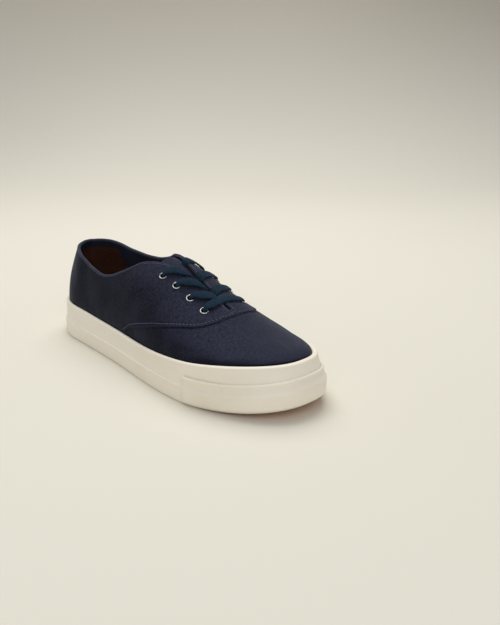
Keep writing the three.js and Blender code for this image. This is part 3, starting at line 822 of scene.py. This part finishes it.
def hemmed(sheet):
    """A sheet with its two hem rows behind the rubber wall."""
    hem = [sheet[:, 0] - np.array([0, 0, d]) for d in HEM]
    return np.concatenate([np.stack(hem, 1), sheet], 1)


def side_shell(side):
    """One side of the upper: outside, rim and lining as one loop of points for each rib."""
    out = hemmed(outer[side])
    loop = np.concatenate([out, hemmed(inner[side])[:, ::-1]], 1)
    count = loop.shape[1]
    rim_step = out.shape[1] - 1
    hem = [-d for d in HEM]
    rise = np.concatenate([hem, np.linspace(0, 1, ROWS) * RIB_LENGTH])
    rise_in = np.concatenate([hem, np.linspace(0, 1, LINING_ROWS) * RIB_LENGTH])[::-1]
    v = np.tile(np.concatenate([rise, rise_in]), (len(us), 1))
    flat = np.stack([np.repeat((us * EDGE_LENGTH)[:, None], count, 1), v], -1).reshape(-1, 2)
    ribs, steps = np.meshgrid(np.arange(len(us) - 1), np.arange(count), indexing="ij")
    keep = ~((steps == rim_step) & (ribs >= last_open))
    a = ribs * count + steps
    b = ribs * count + (steps + 1) % count
    quads = np.stack([a, b, b + count, a + count], -1)[keep]
    if side == "medial":
        quads = quads[:, ::-1]
    inside = (steps >= rim_step)[keep]
    x, z = loop[ribs, steps, 0][keep], loop[ribs, steps, 2][keep]
    under_rim = loop[ribs, rim_step, 2][keep] - z
    in_heel = ((x < COUNTER_END) | (z < COUNTER_TOP)) & (x < 0)
    brown = inside & in_heel & (under_rim > COLLAR_BAND)
    return loop.reshape(-1, 3), quads, np.where(inside, np.where(brown, 2, 1), 0), flat


us = columns_of()
near_share, far_share, open_rib = rim_shares(us)
closed = ~open_rib
last_open = int(np.nonzero(open_rib)[0].max())
ends = {"lateral": near_share, "medial": far_share}
outer, inner, outward = {}, {}, {}
for side in SIDES:
    outer[side], outward[side] = side_sheet(side, us, ends[side], ROWS)
    inner[side] = side_sheet(side, us, ends[side], LINING_ROWS, UPPER_WALL)[0]
ease_toe(outer)
ease_toe(inner)
shells = [side_shell(side) for side in SIDES]
quads = np.concatenate([shell[1] + i * len(shell[0]) for i, shell in enumerate(shells)])
points, picks, flat = [np.concatenate([shell[k] for shell in shells]) for k in (0, 2, 3)]
upper = add_mesh("canvas_upper", points, quads, [canvas, lining, counter], picks, flat, sharp=50)
weld(upper)


def cut_holes(obj):
    """Cuts the eyelet holes through canvas and lining."""
    parts = []
    for side in SIDES:
        for row in range(EYELET_ROWS):
            p, n, ring = eyelet_ring(side, row, HOLE_RADIUS, HOLE_POINTS)
            parts.append(bar_mesh([p + n * lift + ring for lift in HOLE_REACH]))
    points, faces = merge(parts)
    cutter = weld(add_mesh("hole_cutter", points, faces, [canvas]))
    cut = obj.modifiers.new("holes", "BOOLEAN")
    cut.operation = "DIFFERENCE"
    cut.solver = "EXACT"
    cut.object = cutter
    bpy.context.view_layer.update()
    seen = obj.evaluated_get(bpy.context.evaluated_depsgraph_get())
    mesh = bpy.data.meshes.new_from_object(seen)
    obj.modifiers.clear()
    obj.data = mesh
    bpy.data.objects.remove(cutter)


cut_holes(upper)
place(upper, "canvas", "upper")

# ---- binding of the collar and the throat ----
RIM_STEP = 0.9
TAPE_STEP = 0.6
LINING_FACE = -1.97
# Section of the tape: mm down the canvas and mm out of it.
BINDING = [
    (1.9, 0.0), (1.6, 0.26), (0.9, 0.36), (0.15, 0.36), (-0.3, 0.1), (-0.5, -0.6),
    (-0.5, -1.4), (-0.3, -2.05), (0.15, -2.3), (0.9, -2.3), (1.6, -2.26), (1.9, -2.0),
]


def round_rim(sheets, row):
    """One row of both sides as a closed line round the opening."""
    lateral, medial = sheets["lateral"], sheets["medial"]
    return np.concatenate([lateral[:last_open + 1, row], medial[last_open:0:-1, row]])


def resample(line, others, step):
    """Even steps round a closed line; the other arrays go along."""
    run = run_along(np.vstack([line, line[:1]]))
    at = np.linspace(0, run[-1], max(8, int(run[-1] / step)), endpoint=False)
    out = []
    for array in [line, *others]:
        ring = np.vstack([array, array[:1]])
        out.append(np.stack([np.interp(at, run, ring[:, k]) for k in range(3)], -1))
    return out


def ease_loop(a, times):
    """Evens the rows of a closed line."""
    for _ in range(times):
        a = (np.roll(a, 1, 0) + 2 * a + np.roll(a, -1, 0)) / 4
    return a


rim_line, rim_normal, below = round_rim(outer, -1), round_rim(outward, -1), round_rim(outer, -4)
rim_line, rim_normal, below = resample(rim_line, [rim_normal, below], RIM_STEP)
rim_line = ease_loop(rim_line, 2)
rim_normal = unit(ease_loop(rim_normal, 10))
tangent = unit(np.roll(rim_line, -1, 0) - np.roll(rim_line, 1, 0))
down = turned(np.cross(tangent, rim_normal), below - rim_line)
down = unit(ease_loop(down, 4))
slim = (1 - 0.5 * smooth(rim_line[:, 0], -24, -2))[:, None]
rows = []
for a, b in BINDING:
    lift = b
    if b > 0:
        lift = b * slim
    elif b < -2.0:
        lift = (b - LINING_FACE) * slim + LINING_FACE
    rows.append(rim_line + down * a * slim + rim_normal * lift)
rows = list(np.stack(rows, 1))
points, faces = bar_mesh(rows, True)
along = np.repeat(np.arange(len(rows)) * RIM_STEP, len(BINDING))
across = np.tile(np.arange(len(BINDING)) * TAPE_STEP, len(rows))
tape = add_mesh("rim_binding", points, faces, [binding], uv=np.stack([along, across], -1))
place(weld(tape), "canvas")

# ---- stitches ----
STITCH_RADIUS = 0.3
# A stitch from end to end: share of its length, share of its radius, lift in mm.
STITCH = [(0, 0.35, -0.18), (0.12, 0.85, 0.05), (0.5, 1.0, 0.16), (0.88, 0.85, 0.05), (1, 0.35, -0.18)]
SEAM_MARGIN = 2.3
THROAT_MARGIN = 1.5
TACK_X = 70.3
TACK_ENDS = (-6.6, 0.2)


def on_skin(side, x, f):
    """Place on the canvas at a given x and share of the rib, and the normal there."""
    x, f = np.asarray(x, float), np.asarray(f, float)
    u = bisect(np.zeros_like(x), np.ones_like(x), lambda v: skin(side, v, f)[..., 0] >= x)
    g = f if side == "lateral" else 2 - f
    p = rib(u, g)
    core = np.stack([p[..., 0], 0 * x, 0 * x + CORE_HEIGHT], -1)
    n = turned(rib_normal(u, g), p - core)
    return on_cloth(side, u, f, p, n), n


def stitch(a, b, n):
    """One short thread lying on the cloth."""
    sideways = unit(np.cross(unit(b - a), n))
    rows = []
    for t, size, lift in STITCH:
        r = STITCH_RADIUS * size
        c = a + (b - a) * t + n * lift
        ring = [c + sideways * math.cos(q) * r + n * math.sin(q) * r * 0.8
                for q in np.linspace(0, 2 * math.pi, 6, endpoint=False)]
        rows.append(np.array(ring))
    return bar_mesh(rows)


def seam_row(name, line, normal, pitch=3.0, length=2.1):
    """A row of stitches along a line on the cloth."""
    run = run_along(line)

    def at(s, a):
        return np.array([np.interp(s, run, a[:, k]) for k in range(3)])

    parts = []
    for s in np.arange(0.5, run[-1] - length, pitch):
        up = unit(at(s + length / 2, normal))
        parts.append(stitch(at(s, line), at(s + length, line), up))
    points, faces = merge(parts)
    obj = add_mesh(name, points, faces, [thread], uv=np.zeros((len(points), 2)))
    return place(obj, "canvas")


def quarter_seam(side):
    """The quarter's folded edge over the vamp, and the stitches behind it."""
    share = np.linspace(0.012, 0.955 if side == "lateral" else 1.0, 120)
    x = np.interp(share, SEAM["share"], SEAM["x"])
    dx, df = np.gradient(x), np.gradient(share) * RIB_LENGTH
    span = np.hypot(dx, df)
    behind = np.minimum(1.0, share + SEAM_MARGIN * dx / span / RIB_LENGTH)
    line, normal = on_skin(side, x - SEAM_MARGIN * df / span, behind)
    seam_row("seam_" + side, line + normal * 0.05, normal)
    line, normal = on_skin(side, x - 0.35 * df / span, share + 0.35 * dx / span / RIB_LENGTH)
    across = unit(np.cross(np.gradient(line, axis=0), normal))
    roll = [line + across * 0.34 * math.cos(q) + normal * (0.26 * math.sin(q) - 0.06)
            for q in np.linspace(0, 2 * math.pi, 8, endpoint=False)]
    points, faces = bar_mesh(list(np.stack(roll, 1)))
    edge_fold = add_mesh("folded_edge_" + side, points, faces, [canvas], uv=points[:, :2])
    place(weld(edge_fold), "canvas")


def onto_cloth(points, normals):
    """The points dropped onto the sewn canvas."""
    spots = []
    for q in to_frame(points + normals * 0.9):
        spots.append(np.array(upper.closest_point_on_mesh(Vector(q))[1]) * 1000 + CENTRE)
    return np.array(spots) + normals * 0.06


for side in SIDES:
    quarter_seam(side)
for side in SIDES:
    x = np.linspace(-18, 69.6, 60)
    reach = throat_edge[side](np.minimum(x, 60)) + THROAT_MARGIN
    p, n = skin_over(x, ridge_y(x) + SIGN[side] * reach)
    seam_row("throat_row_" + side, onto_cloth(p, n), n, 2.6, 1.9)
d = np.linspace(*TACK_ENDS, 8)
p, n = skin_over(TACK_X + 0 * d, ridge_y(TACK_X) + d)
seam_row("bar_tack_1", onto_cloth(p, n), n, 1.5, 1.2)

# ---- rubber wall ----
LIP = 1.8
WALL_STATIONS = 230


def wall_place(side, u):
    """Underside, height and lean of the rubber wall at a place along the edge."""
    x = float(edge[side](u)[0])
    base = float(spring_at(x))
    top = float(wall_top(float(canvas_foot(side, u)[0]))) - base
    return base, top, float(lean_at(x))


def wall_inset(z, top, lean):
    """Inset of the wall's face at a height above its own underside."""
    leaning = lean * smooth(z, TAPE_HEIGHT - 2, top)
    toe = min(1.0, lean / 2.0)
    face = 0.5 + 0.3 * np.clip(z / TAPE_HEIGHT, 0, 1)
    face = face + (0.9 - 0.6 * toe) * smooth(z, TAPE_HEIGHT - 0.3, TAPE_HEIGHT + 0.7)
    face = face - 0.42 * np.exp(-((z - TAPE_HEIGHT + 0.6) / 0.8) ** 2)
    rise = np.clip((z - TAPE_HEIGHT - 0.4) / (top - TAPE_HEIGHT - 0.4), 0, 1)
    return face + (0.8 - 0.3 * toe) * rise + (0.35 - 0.75 * toe) * np.sin(math.pi * rise) + leaning


def wall_section(side, u):
    """The wall cut across: underside, outer face, rounded lip and plain back."""
    base, top, lean = wall_place(side, u)
    back = UPPER_INSET - GAP + lean
    shape = [(back, 0.3), (back - 0.8, 0.0), (2.6, 0.0), (1.5, 0.08), (0.9, 0.4), (0.6, 1.0)]
    heights = [np.linspace(2, 12.6, 6), np.linspace(13, 15, 8), np.linspace(15.8, top - 2.1, 9)]
    for z in np.concatenate(heights):
        shape.append((float(wall_inset(z, top, lean)), float(z)))
    lip = float(wall_inset(top - LIP, top, lean))
    for q in np.linspace(0.1, 1, 7) * math.pi / 2:
        shape.append((lip + LIP * (1 - math.cos(q)), top - LIP + LIP * math.sin(q)))
    shape += [(back - 0.9, top - 0.1), (back - 0.3, top - 0.35), (back, top - 0.9)]
    shape += [(back, top * 0.6), (back, top * 0.3)]
    return np.array([[*edge_in(side, u, a), base + z] for a, z in shape])


stations = np.linspace(0, 1, WALL_STATIONS)
rows = [wall_section("lateral", u) for u in stations[:-1]]
rows += [wall_section("medial", u) for u in stations[:0:-1]]
points, faces = bar_mesh(rows, True)
under = [1 if k % len(rows[0]) in (0, 1, 2) else 0 for k in range(len(faces))]
wall = weld(add_mesh("rubber_wall", points, faces, [white, gum], under, sharp=60))
place(wall, "white_rubber", "foxing")

# ---- toe bumper ----
# Face of the bumper from its foot up: height and inset in mm, under 0 where it stands proud.
BUMPER = [
    (1.5, -0.25), (2, -0.75), (2.7, -1.1), (3.8, -1.27), (6, -1.3), (9, -1.3), (11.5, -1.36),
    (12.8, -1.52), (13.7, -1.46), (14.6, -1.05), (15.6, -0.58), (16.8, -0.2), (18.2, 0.0),
    (19.2, -0.1), (20.0, -0.45), (20.8, -0.8), (21.5, -0.78), (22.1, -0.4), (22.5, 0.3),
]
BUMPER_SINK = 0.28
BUMPER_FOOT = 1.4
BACK_HEIGHTS = (BUMPER_HEIGHT, 19.0, 16.0, 14.6, 14.0, 13.2, 11.0, 6.0)
END_STEPS = [0, 0.15, 0.4, 0.8, 1.3, 1.9, 2.6]
END_LENGTH = 2.4


def bumper_section(side, u, fade):
    """The strip cut across; fade brings its face down onto the wall at the strip's ends."""
    base, top, lean = wall_place(side, u)

    def behind(z):
        return float(wall_inset(z, top, lean)) - BUMPER_SINK

    shape = [(behind(BUMPER_FOOT), BUMPER_FOOT)]
    for z, a in BUMPER:
        a += lean * float(smooth(z, TAPE_HEIGHT - 2, top))
        wall = behind(z)
        shape.append((wall - 0.05 + (min(a, wall - 0.1) - wall + 0.05) * fade, z))
    for z in BACK_HEIGHTS:
        shape.append((behind(z), z))
    return np.array([[*edge_in(side, u, a), base + z] for a, z in shape])


def edge_at(side, x):
    """Place along the edge at a given x."""
    return float(bisect(np.zeros(1), np.ones(1), lambda u: edge[side](u)[..., 0] >= x)[0])


def bumper_side(side):
    """Sections of the strip from its end to the tip of the toe."""
    start = edge_at(side, BUMPER_START)
    steps = np.concatenate([END_STEPS, np.arange(3.6, (1 - start) * EDGE_LENGTH, 1.5)])
    out = []
    for s in steps:
        fade = math.sqrt(max(0.0, 1 - (1 - min(1, s / END_LENGTH)) ** 2))
        out.append(bumper_section(side, start + s / EDGE_LENGTH, 0.05 + 0.95 * fade))
    out.append(bumper_section(side, 1.0, 1.0))
    return out


rows = bumper_side("lateral") + bumper_side("medial")[-2::-1]
points, faces = bar_mesh(rows)
bumper = weld(add_mesh("rubber_bumper_strip", points, faces, [bumper_white], sharp=60))
place(bumper, "white_rubber", "toe_bumper")

# ---- outsole and insole ----
GROOVES = [-128, -112, -96, -80, 34, 50, 66, 82, 98, 114]
FINE_PITCH = 4.0
FINE_DEPTH = 0.45
ARCH_RISE = 2.4


def slab_mesh(name, inset, bottom, top, material, along, across):
    """Block within the sole's outline whose two faces follow height functions of x and y."""
    us = 0.004 + 0.992 * np.linspace(0, 1, along)
    share = np.linspace(0, 1, across)
    lat = np.array([edge_in("lateral", u, inset + lean_at(edge["lateral"](u)[0])) for u in us])
    med = np.array([edge_in("medial", u, inset + lean_at(edge["medial"](u)[0])) for u in us])
    x = lat[:, None, 0] * (1 - share) + med[:, None, 0] * share
    y = lat[:, None, 1] * (1 - share) + med[:, None, 1] * share
    rim = np.minimum(np.minimum(share, 1 - share)[None] * np.abs(med[:, 1] - lat[:, 1])[:, None], 6.0)
    low = np.stack([x, y, bottom(x, y, rim)], -1)
    high = np.stack([x, y, top(x, y, rim)], -1)
    ring = np.concatenate([low, high[:, ::-1]], 1)
    points, faces = bar_mesh(list(ring))
    return weld(add_mesh(name, points, faces, [material], uv=points[:, :2], sharp=40))


def tread(x, y, rim):
    """Underside: cross grooves, fine slanting ribs on the pads, and the arch."""
    cut = np.zeros_like(x)
    for g in GROOVES:
        cut = np.maximum(cut, TREAD_DEPTH * (1 - smooth(np.abs(x - g), 1.1, 1.8)))
    pads = (1 - smooth(x, -68, -62)) + smooth(x, 18, 24)
    off_rib = np.abs(((x + 0.25 * y) % FINE_PITCH) - FINE_PITCH / 2)
    fine = FINE_DEPTH * (1 - smooth(off_rib, 0.4, 0.9)) * pads
    inside = smooth(rim, 3.0, 4.5)
    arch = np.maximum(0, ARCH_RISE - (x + 22) ** 2 / (2 * 420))
    arch = arch * smooth(x, -66, -60) * (1 - smooth(x, 16, 22))
    return spring_at(x) + np.maximum(cut, fine) * inside + arch


def insole_under(x, y, rim):
    return footbed(x) + GAP


def insole_top(x, y, rim):
    """Upper face: cupped round the heel, and worn under the heel and the ball."""
    cup = 2.6 * (1 - smooth(rim, 0.5, 6.0)) * (1 - smooth(x, -40, 10))
    worn = -0.5 * np.exp(-((x + 100) ** 2 + y ** 2) / 500)
    worn = worn - 0.5 * np.exp(-((x - 60) ** 2 + y ** 2) / 900)
    soft = -0.8 * (1 - smooth(rim, 0.0, 1.2)) * smooth(x, -40, 10)
    return footbed(x) + GAP + INSOLE_THICK + cup + worn + soft


sole = slab_mesh("gum_outsole", UPPER_INSET + 0.1, tread, lambda x, y, rim: footbed(x), gum, 420, 40)
place(sole, "gum_rubber", "outsole")
bed_inset = UPPER_INSET + UPPER_WALL + 0.6
bed = slab_mesh("cloth_insole", bed_inset, insole_under, insole_top, insole_cloth, 160, 36)
place(bed, "insole_cloth", "insole")

# ---- tongue ----
TONGUE = table("x half", [(-8, 13), (-3, 18), (10, 21), (60, 20), (96, 15)])
tongue_half = curve(TONGUE, "x", "half")
TONGUE_START = -8
TONGUE_LENGTH = 104
TONGUE_THICK = 2.2
TONGUE_DROP = UPPER_WALL + 1.6
stations = np.concatenate([np.linspace(0, 0.06, 10)[:-1], np.linspace(0.06, 1, 60)])
tx = TONGUE_START + TONGUE_LENGTH * stations
ta = np.sin(np.linspace(-1, 1, 33) * math.pi / 2)
X = np.repeat(tx[:, None], len(ta), 1)
Y = ridge_y(X) + tongue_half(X) * ta[None]
P, N = skin_over(X, Y)
hug = 1 - np.abs(np.repeat(ta[None], len(tx), 0)) ** 8
ease = np.minimum(hug, 1) ** 0.5 * np.minimum(1, ((X - TONGUE_START) / 1.2 + 0.15)) ** 0.5
ripple = 0.25 * np.sin(X / 5.5 + 0.6 * np.sin(Y / 6.0)) * smooth(X, -6, 6)
middle = P - N * (TONGUE_DROP + TONGUE_THICK / 2 - ripple * 0.6)[..., None]
half = np.maximum(0.12, TONGUE_THICK / 2 * ease)[..., None]
ring = np.concatenate([middle + N * half, (middle - N * half)[:, ::-1]], 1)
points, faces = bar_mesh(list(ring))
plan = np.stack([X, Y], -1)
flat = np.concatenate([plan, plan[:, ::-1]], 1).reshape(-1, 2)
flap = weld(add_mesh("tongue_flap", points, faces, [canvas], uv=flat, sharp=70))
place(flap, "canvas", "tongue")

# ---- eyelets ----
# Section of a ring: radius and height over the canvas.
OUTLINE = [
    (2.0, -3.2), (2.8, -3.2), (2.8, -2.72), (2.42, -2.7), (2.42, 0.3), (2.7, 0.6),
    (3.35, 0.63), (3.5, 0.7), (3.5, 0.9), (3.38, 1.1), (3.15, 1.22), (2.9, 1.2),
    (2.65, 1.0), (2.4, 0.62), (2.22, 0.2), (2.06, -0.3), (2.0, -0.8),
]
RING_POINTS = 40


def eyelet(side, row):
    """One rolled metal ring, set square on the canvas."""
    p, n, ring = eyelet_ring(side, row, 1.0, RING_POINTS)
    rings = [p + n * z + ring * r for r, z in OUTLINE]
    points, faces = bar_mesh(list(np.stack(rings, 1)), True)
    obj = weld(add_mesh("ring_" + side + "_" + str(row + 1), points, faces, [steel], sharp=55))
    return place(obj, "eyelet_metal", "eyelet_" + side + "_" + str(row + 1))


for side in SIDES:
    for row in range(EYELET_ROWS):
        eyelet(side, row)

# ---- laces ----
# Section of the lace in shares of its half width and half thickness.
SECTION = [
    (-1.0, 0.0), (-0.96, 0.55), (-0.86, 0.92), (-0.6, 1.0), (-0.2, 1.0), (0.2, 1.0),
    (0.6, 1.0), (0.86, 0.92), (0.96, 0.55), (1.0, 0.0), (0.96, -0.55), (0.86, -0.92),
    (0.6, -1.0), (0.2, -1.0), (-0.2, -1.0), (-0.6, -1.0), (-0.86, -0.92), (-0.96, -0.55),
]
# Run of the bottom bar: distance from the ridge, height over the canvas, width.
BAR = [
    (-21.0, -3.6, 3.0), (-21.0, -0.8, 3.0), (-20.6, 1.3, 3.2), (-18.8, 2.5, 4.8),
    (-15.5, 2.5, 7.3), (-8.0, 2.1, 7.9), (0.0, 1.9, 7.9), (8.0, 1.8, 7.9),
    (15.5, 1.9, 7.3), (18.8, 2.1, 4.8), (20.6, 1.3, 3.2), (21.0, -0.8, 3.0), (21.0, -3.6, 3.0),
]
# How far forward the medial strap of each crossing runs to the slit, in mm.
FAR_RUN = (0.5, 5.5, 6.5)


def evened(values, reach=4):
    """Running mean of a column of numbers."""
    span = 2 * reach + 1
    return np.convolve(np.pad(values, reach, mode="edge"), np.ones(span) / span, "valid")


def strap(stops, count=64, crown=0.35):
    """Flat lace through stops, with its middle crowned.

    A stop is x, distance from the ridge, height over the canvas, width, and how far the width
    is turned to lie along the shoe.
    """
    line = through(stops, count)
    x, d, lift, wide, turn = line.T
    p, n = skin_over(x, ridge_y(x) + d)
    n = unit(np.apply_along_axis(evened, 0, n))
    p = p + n * lift[:, None]
    t = unit(np.gradient(p, axis=0))
    perp = unit(np.cross(t, n))
    along = TOE_WAY - n * n[:, :1]
    along = unit(along) * np.sign((perp[:, :1]))
    side = unit(perp * (1 - turn[:, None]) + along * turn[:, None])
    up = unit(np.cross(side, t))
    up = np.where((up * n).sum(-1, keepdims=True) < -0.4, -up, up)
    rows = []
    for i in range(count):
        row = []
        for s, v in SECTION:
            arch = crown * (1 - s * s) * min(1.0, wide[i] / 7)
            row.append(p[i] + side[i] * s * wide[i] / 2 + up[i] * (v * LACE_THICK / 2 + arch))
        rows.append(np.array(row))
    return rows


def lace_piece(name, node, straps):
    """Several straps as one piece of lace."""
    parts = [bar_mesh(rows) for rows in straps]
    points, faces = merge(parts)
    flat = []
    for rows in straps:
        run = run_along(np.array([row.mean(0) for row in rows]))
        across = np.array([s for s, v in SECTION]) * LACE_WIDTH / 2
        flat.append(np.stack([np.repeat(run, len(SECTION)), np.tile(across, len(rows))], -1))
    obj = add_mesh(name, points, faces, [lace], uv=np.concatenate(flat), sharp=80)
    return place(obj, "lace_cloth", node)


def crossing(row):
    """The two straps of a row: each climbs out of its eyelet and turns down into the slit."""
    x = EYELET_FIRST + EYELET_PITCH * row
    edge_l = -float(throat_edge["lateral"](x + 14))
    run = FAR_RUN[row]
    edge_m = float(throat_edge["medial"](x + run))
    near_strap = strap([
        (x, -21.0, -3.6, 3.0, 0.0),
        (x, -21.0, -0.8, 3.0, 0.0),
        (x + 0.2, -20.6, 1.3, 3.2, 0.0),
        (x + 0.9, -18.9, 2.7, 4.8, 0.0),
        (x + 2.8, -16.2, 3.0, 7.0, 0.1),
        (x + 5.8, -13.4, 3.0, 7.9, 0.25),
        (x + 9.6, edge_l - 2.4, 2.5, 9.2, 0.6),
        (x + 13.0, edge_l - 0.2, 1.9, 10.8, 0.9),
        (x + 14.4, edge_l + 1.3, 0.3, 10.8, 1.0),
        (x + 15.0, edge_l + 1.9, -2.6, 9.6, 1.0),
    ])
    far_strap = strap([
        (x, 21.0, -3.6, 3.0, 0.0),
        (x, 21.0, -0.8, 3.0, 0.0),
        (x + 0.02 * run, 20.7, 1.25, 3.2, 0.0),
        (x + 0.06 * run, 19.0, 2.1, 5.0, 0.0),
        (x + 0.2 * run, 15.4, 1.9, 7.2, 0.1),
        (x + 0.45 * run, 9.5, 1.7, 8.2, 0.2),
        (x + 0.75 * run, edge_m + 3.4, 1.75, 8.8, 0.5),
        (x + 0.93 * run, edge_m + 0.8, 1.7, 9.4, 0.9),
        (x + run, edge_m - 1.1, 0.2, 9.2, 1.0),
        (x + run, edge_m - 1.6, -2.6, 8.4, 1.0),
    ], crown=0.2)
    lace_piece("lace_row_" + str(row + 1), "lace_cross_" + str(row + 1), [near_strap, far_strap])


for row in range(EYELET_ROWS - 1):
    crossing(row)
x = EYELET_FIRST + EYELET_PITCH * (EYELET_ROWS - 1)
bar_strap = strap([(x, d, lift, wide, 0.0) for d, lift, wide in BAR], 96)
lace_piece("lace_front_bar", "lace_bar", [bar_strap])

# ---- floor and light ----
# The paper runs level, then bends up behind the shoe. Both directions lie in plan.
AWAY = Vector((-0.7036, 0.7106, 0.0))
RIGHT = Vector((0.7106, 0.7036, 0.0))
SWEEP_HALF_WIDTH = 4.0
SWEEP_START = 0.8
SWEEP_RADIUS = 1.6
SWEEP_TOP = 3.0
SHADE = rgb(150, 141, 126)
profile = [(-3.0, 0.0), (-1.0, 0.0), (0.0, 0.0), (0.5, 0.0), (SWEEP_START, 0.0)]
for q in np.linspace(0, math.pi / 2, 25)[1:]:
    profile.append((SWEEP_START + SWEEP_RADIUS * math.sin(q), SWEEP_RADIUS * (1 - math.cos(q))))
profile.append((SWEEP_START + SWEEP_RADIUS, SWEEP_TOP))
floor_points = []
for f, z in profile:
    for w in (-SWEEP_HALF_WIDTH, SWEEP_HALF_WIDTH):
        spot = AWAY * f + RIGHT * w
        floor_points.append((spot.x, spot.y, z))
floor_quads = [(2 * i, 2 * i + 1, 2 * i + 3, 2 * i + 2) for i in range(len(profile) - 1)]
floor_mesh = bpy.data.meshes.new("pale_sweep")
floor_mesh.from_pydata(floor_points, [], floor_quads)
floor_mesh.polygons.foreach_set("use_smooth", [True] * len(floor_mesh.polygons))
g = Graph("pale_paper")
x, y, z = g.parts()
side_way = g.plus(g.times(x, RIGHT.x), g.times(y, RIGHT.y))
tone = g.mix(g.noise(2.0, 2), rgb(226, 222, 208), rgb(230, 226, 213))
tone = g.mix(g.span(z, 0.02, 0.9), tone, rgb(236, 224, 202))
# Painted shade: the sweep darkens towards its right and, higher up, its left, as corners out of the
# light.
to_right = g.span(side_way, 0.1, 1.2, 0.0, 0.7)
tone = g.mix(g.times(to_right, g.span(z, 0.0, 0.9)), tone, SHADE)
to_left = g.span(side_way, -0.3, -1.4, 0.0, 0.3)
tone = g.mix(g.times(to_left, g.span(z, 0.3, 1.1)), tone, SHADE)
floor_mesh.materials.append(g.finish(tone, 0.85, Specular_IOR_Level=0.1))
sweep = bpy.data.objects.new("pale_sweep", floor_mesh)
bpy.context.scene.collection.objects.link(sweep)

world = bpy.data.worlds.new("soft_room")
bpy.context.scene.world = world
world.use_nodes = True
backing = next(n for n in world.node_tree.nodes if n.type == "BACKGROUND")
backing.inputs["Color"].default_value = rgb(240, 243, 250)
backing.inputs["Strength"].default_value = 0.44


def soft_light(name, spot, aim, size, power, colour):
    """A rectangular lamp at spot that shines towards aim."""
    lamp = bpy.data.lights.new(name, "AREA")
    lamp.shape = "RECTANGLE"
    lamp.size, lamp.size_y = size
    lamp.energy = power
    lamp.color = colour
    obj = bpy.data.objects.new(name, lamp)
    obj.location = spot
    obj.rotation_euler = (Vector(aim) - Vector(spot)).to_track_quat("-Z", "Y").to_euler()
    bpy.context.scene.collection.objects.link(obj)


soft_light("key_light", (-0.4, 0.35, 1.3), (0, 0, 0), (1.2, 1.0), 14.5, (1.0, 0.985, 0.95))
soft_light("front_light", (1.0, -0.9, 1.0), (0, 0, 0.03), (1.4, 1.0), 6.5, (1.0, 0.99, 0.97))

# ---- camera ----
CAMERA_PLACE = (0.438089, -0.352319, 0.239450)
CAMERA_YAW = 2.35246865
CAMERA_DIP = 0.337957233
CAMERA_LENS = 39.832
lens = bpy.data.cameras.new("view_camera")
lens.sensor_fit = "AUTO"
lens.sensor_width = 36.0
lens.lens = CAMERA_LENS
lens.clip_start = 0.02
lens.clip_end = 20
eye = bpy.data.objects.new("view_camera", lens)
eye.location = CAMERA_PLACE
level = math.cos(CAMERA_DIP)
look = Vector((math.cos(CAMERA_YAW) * level, math.sin(CAMERA_YAW) * level, -math.sin(CAMERA_DIP)))
eye.rotation_euler = look.to_track_quat("-Z", "Y").to_euler()
bpy.context.scene.collection.objects.link(eye)
bpy.context.scene.camera = eye
bpy.context.scene.view_settings.view_transform = "Standard"
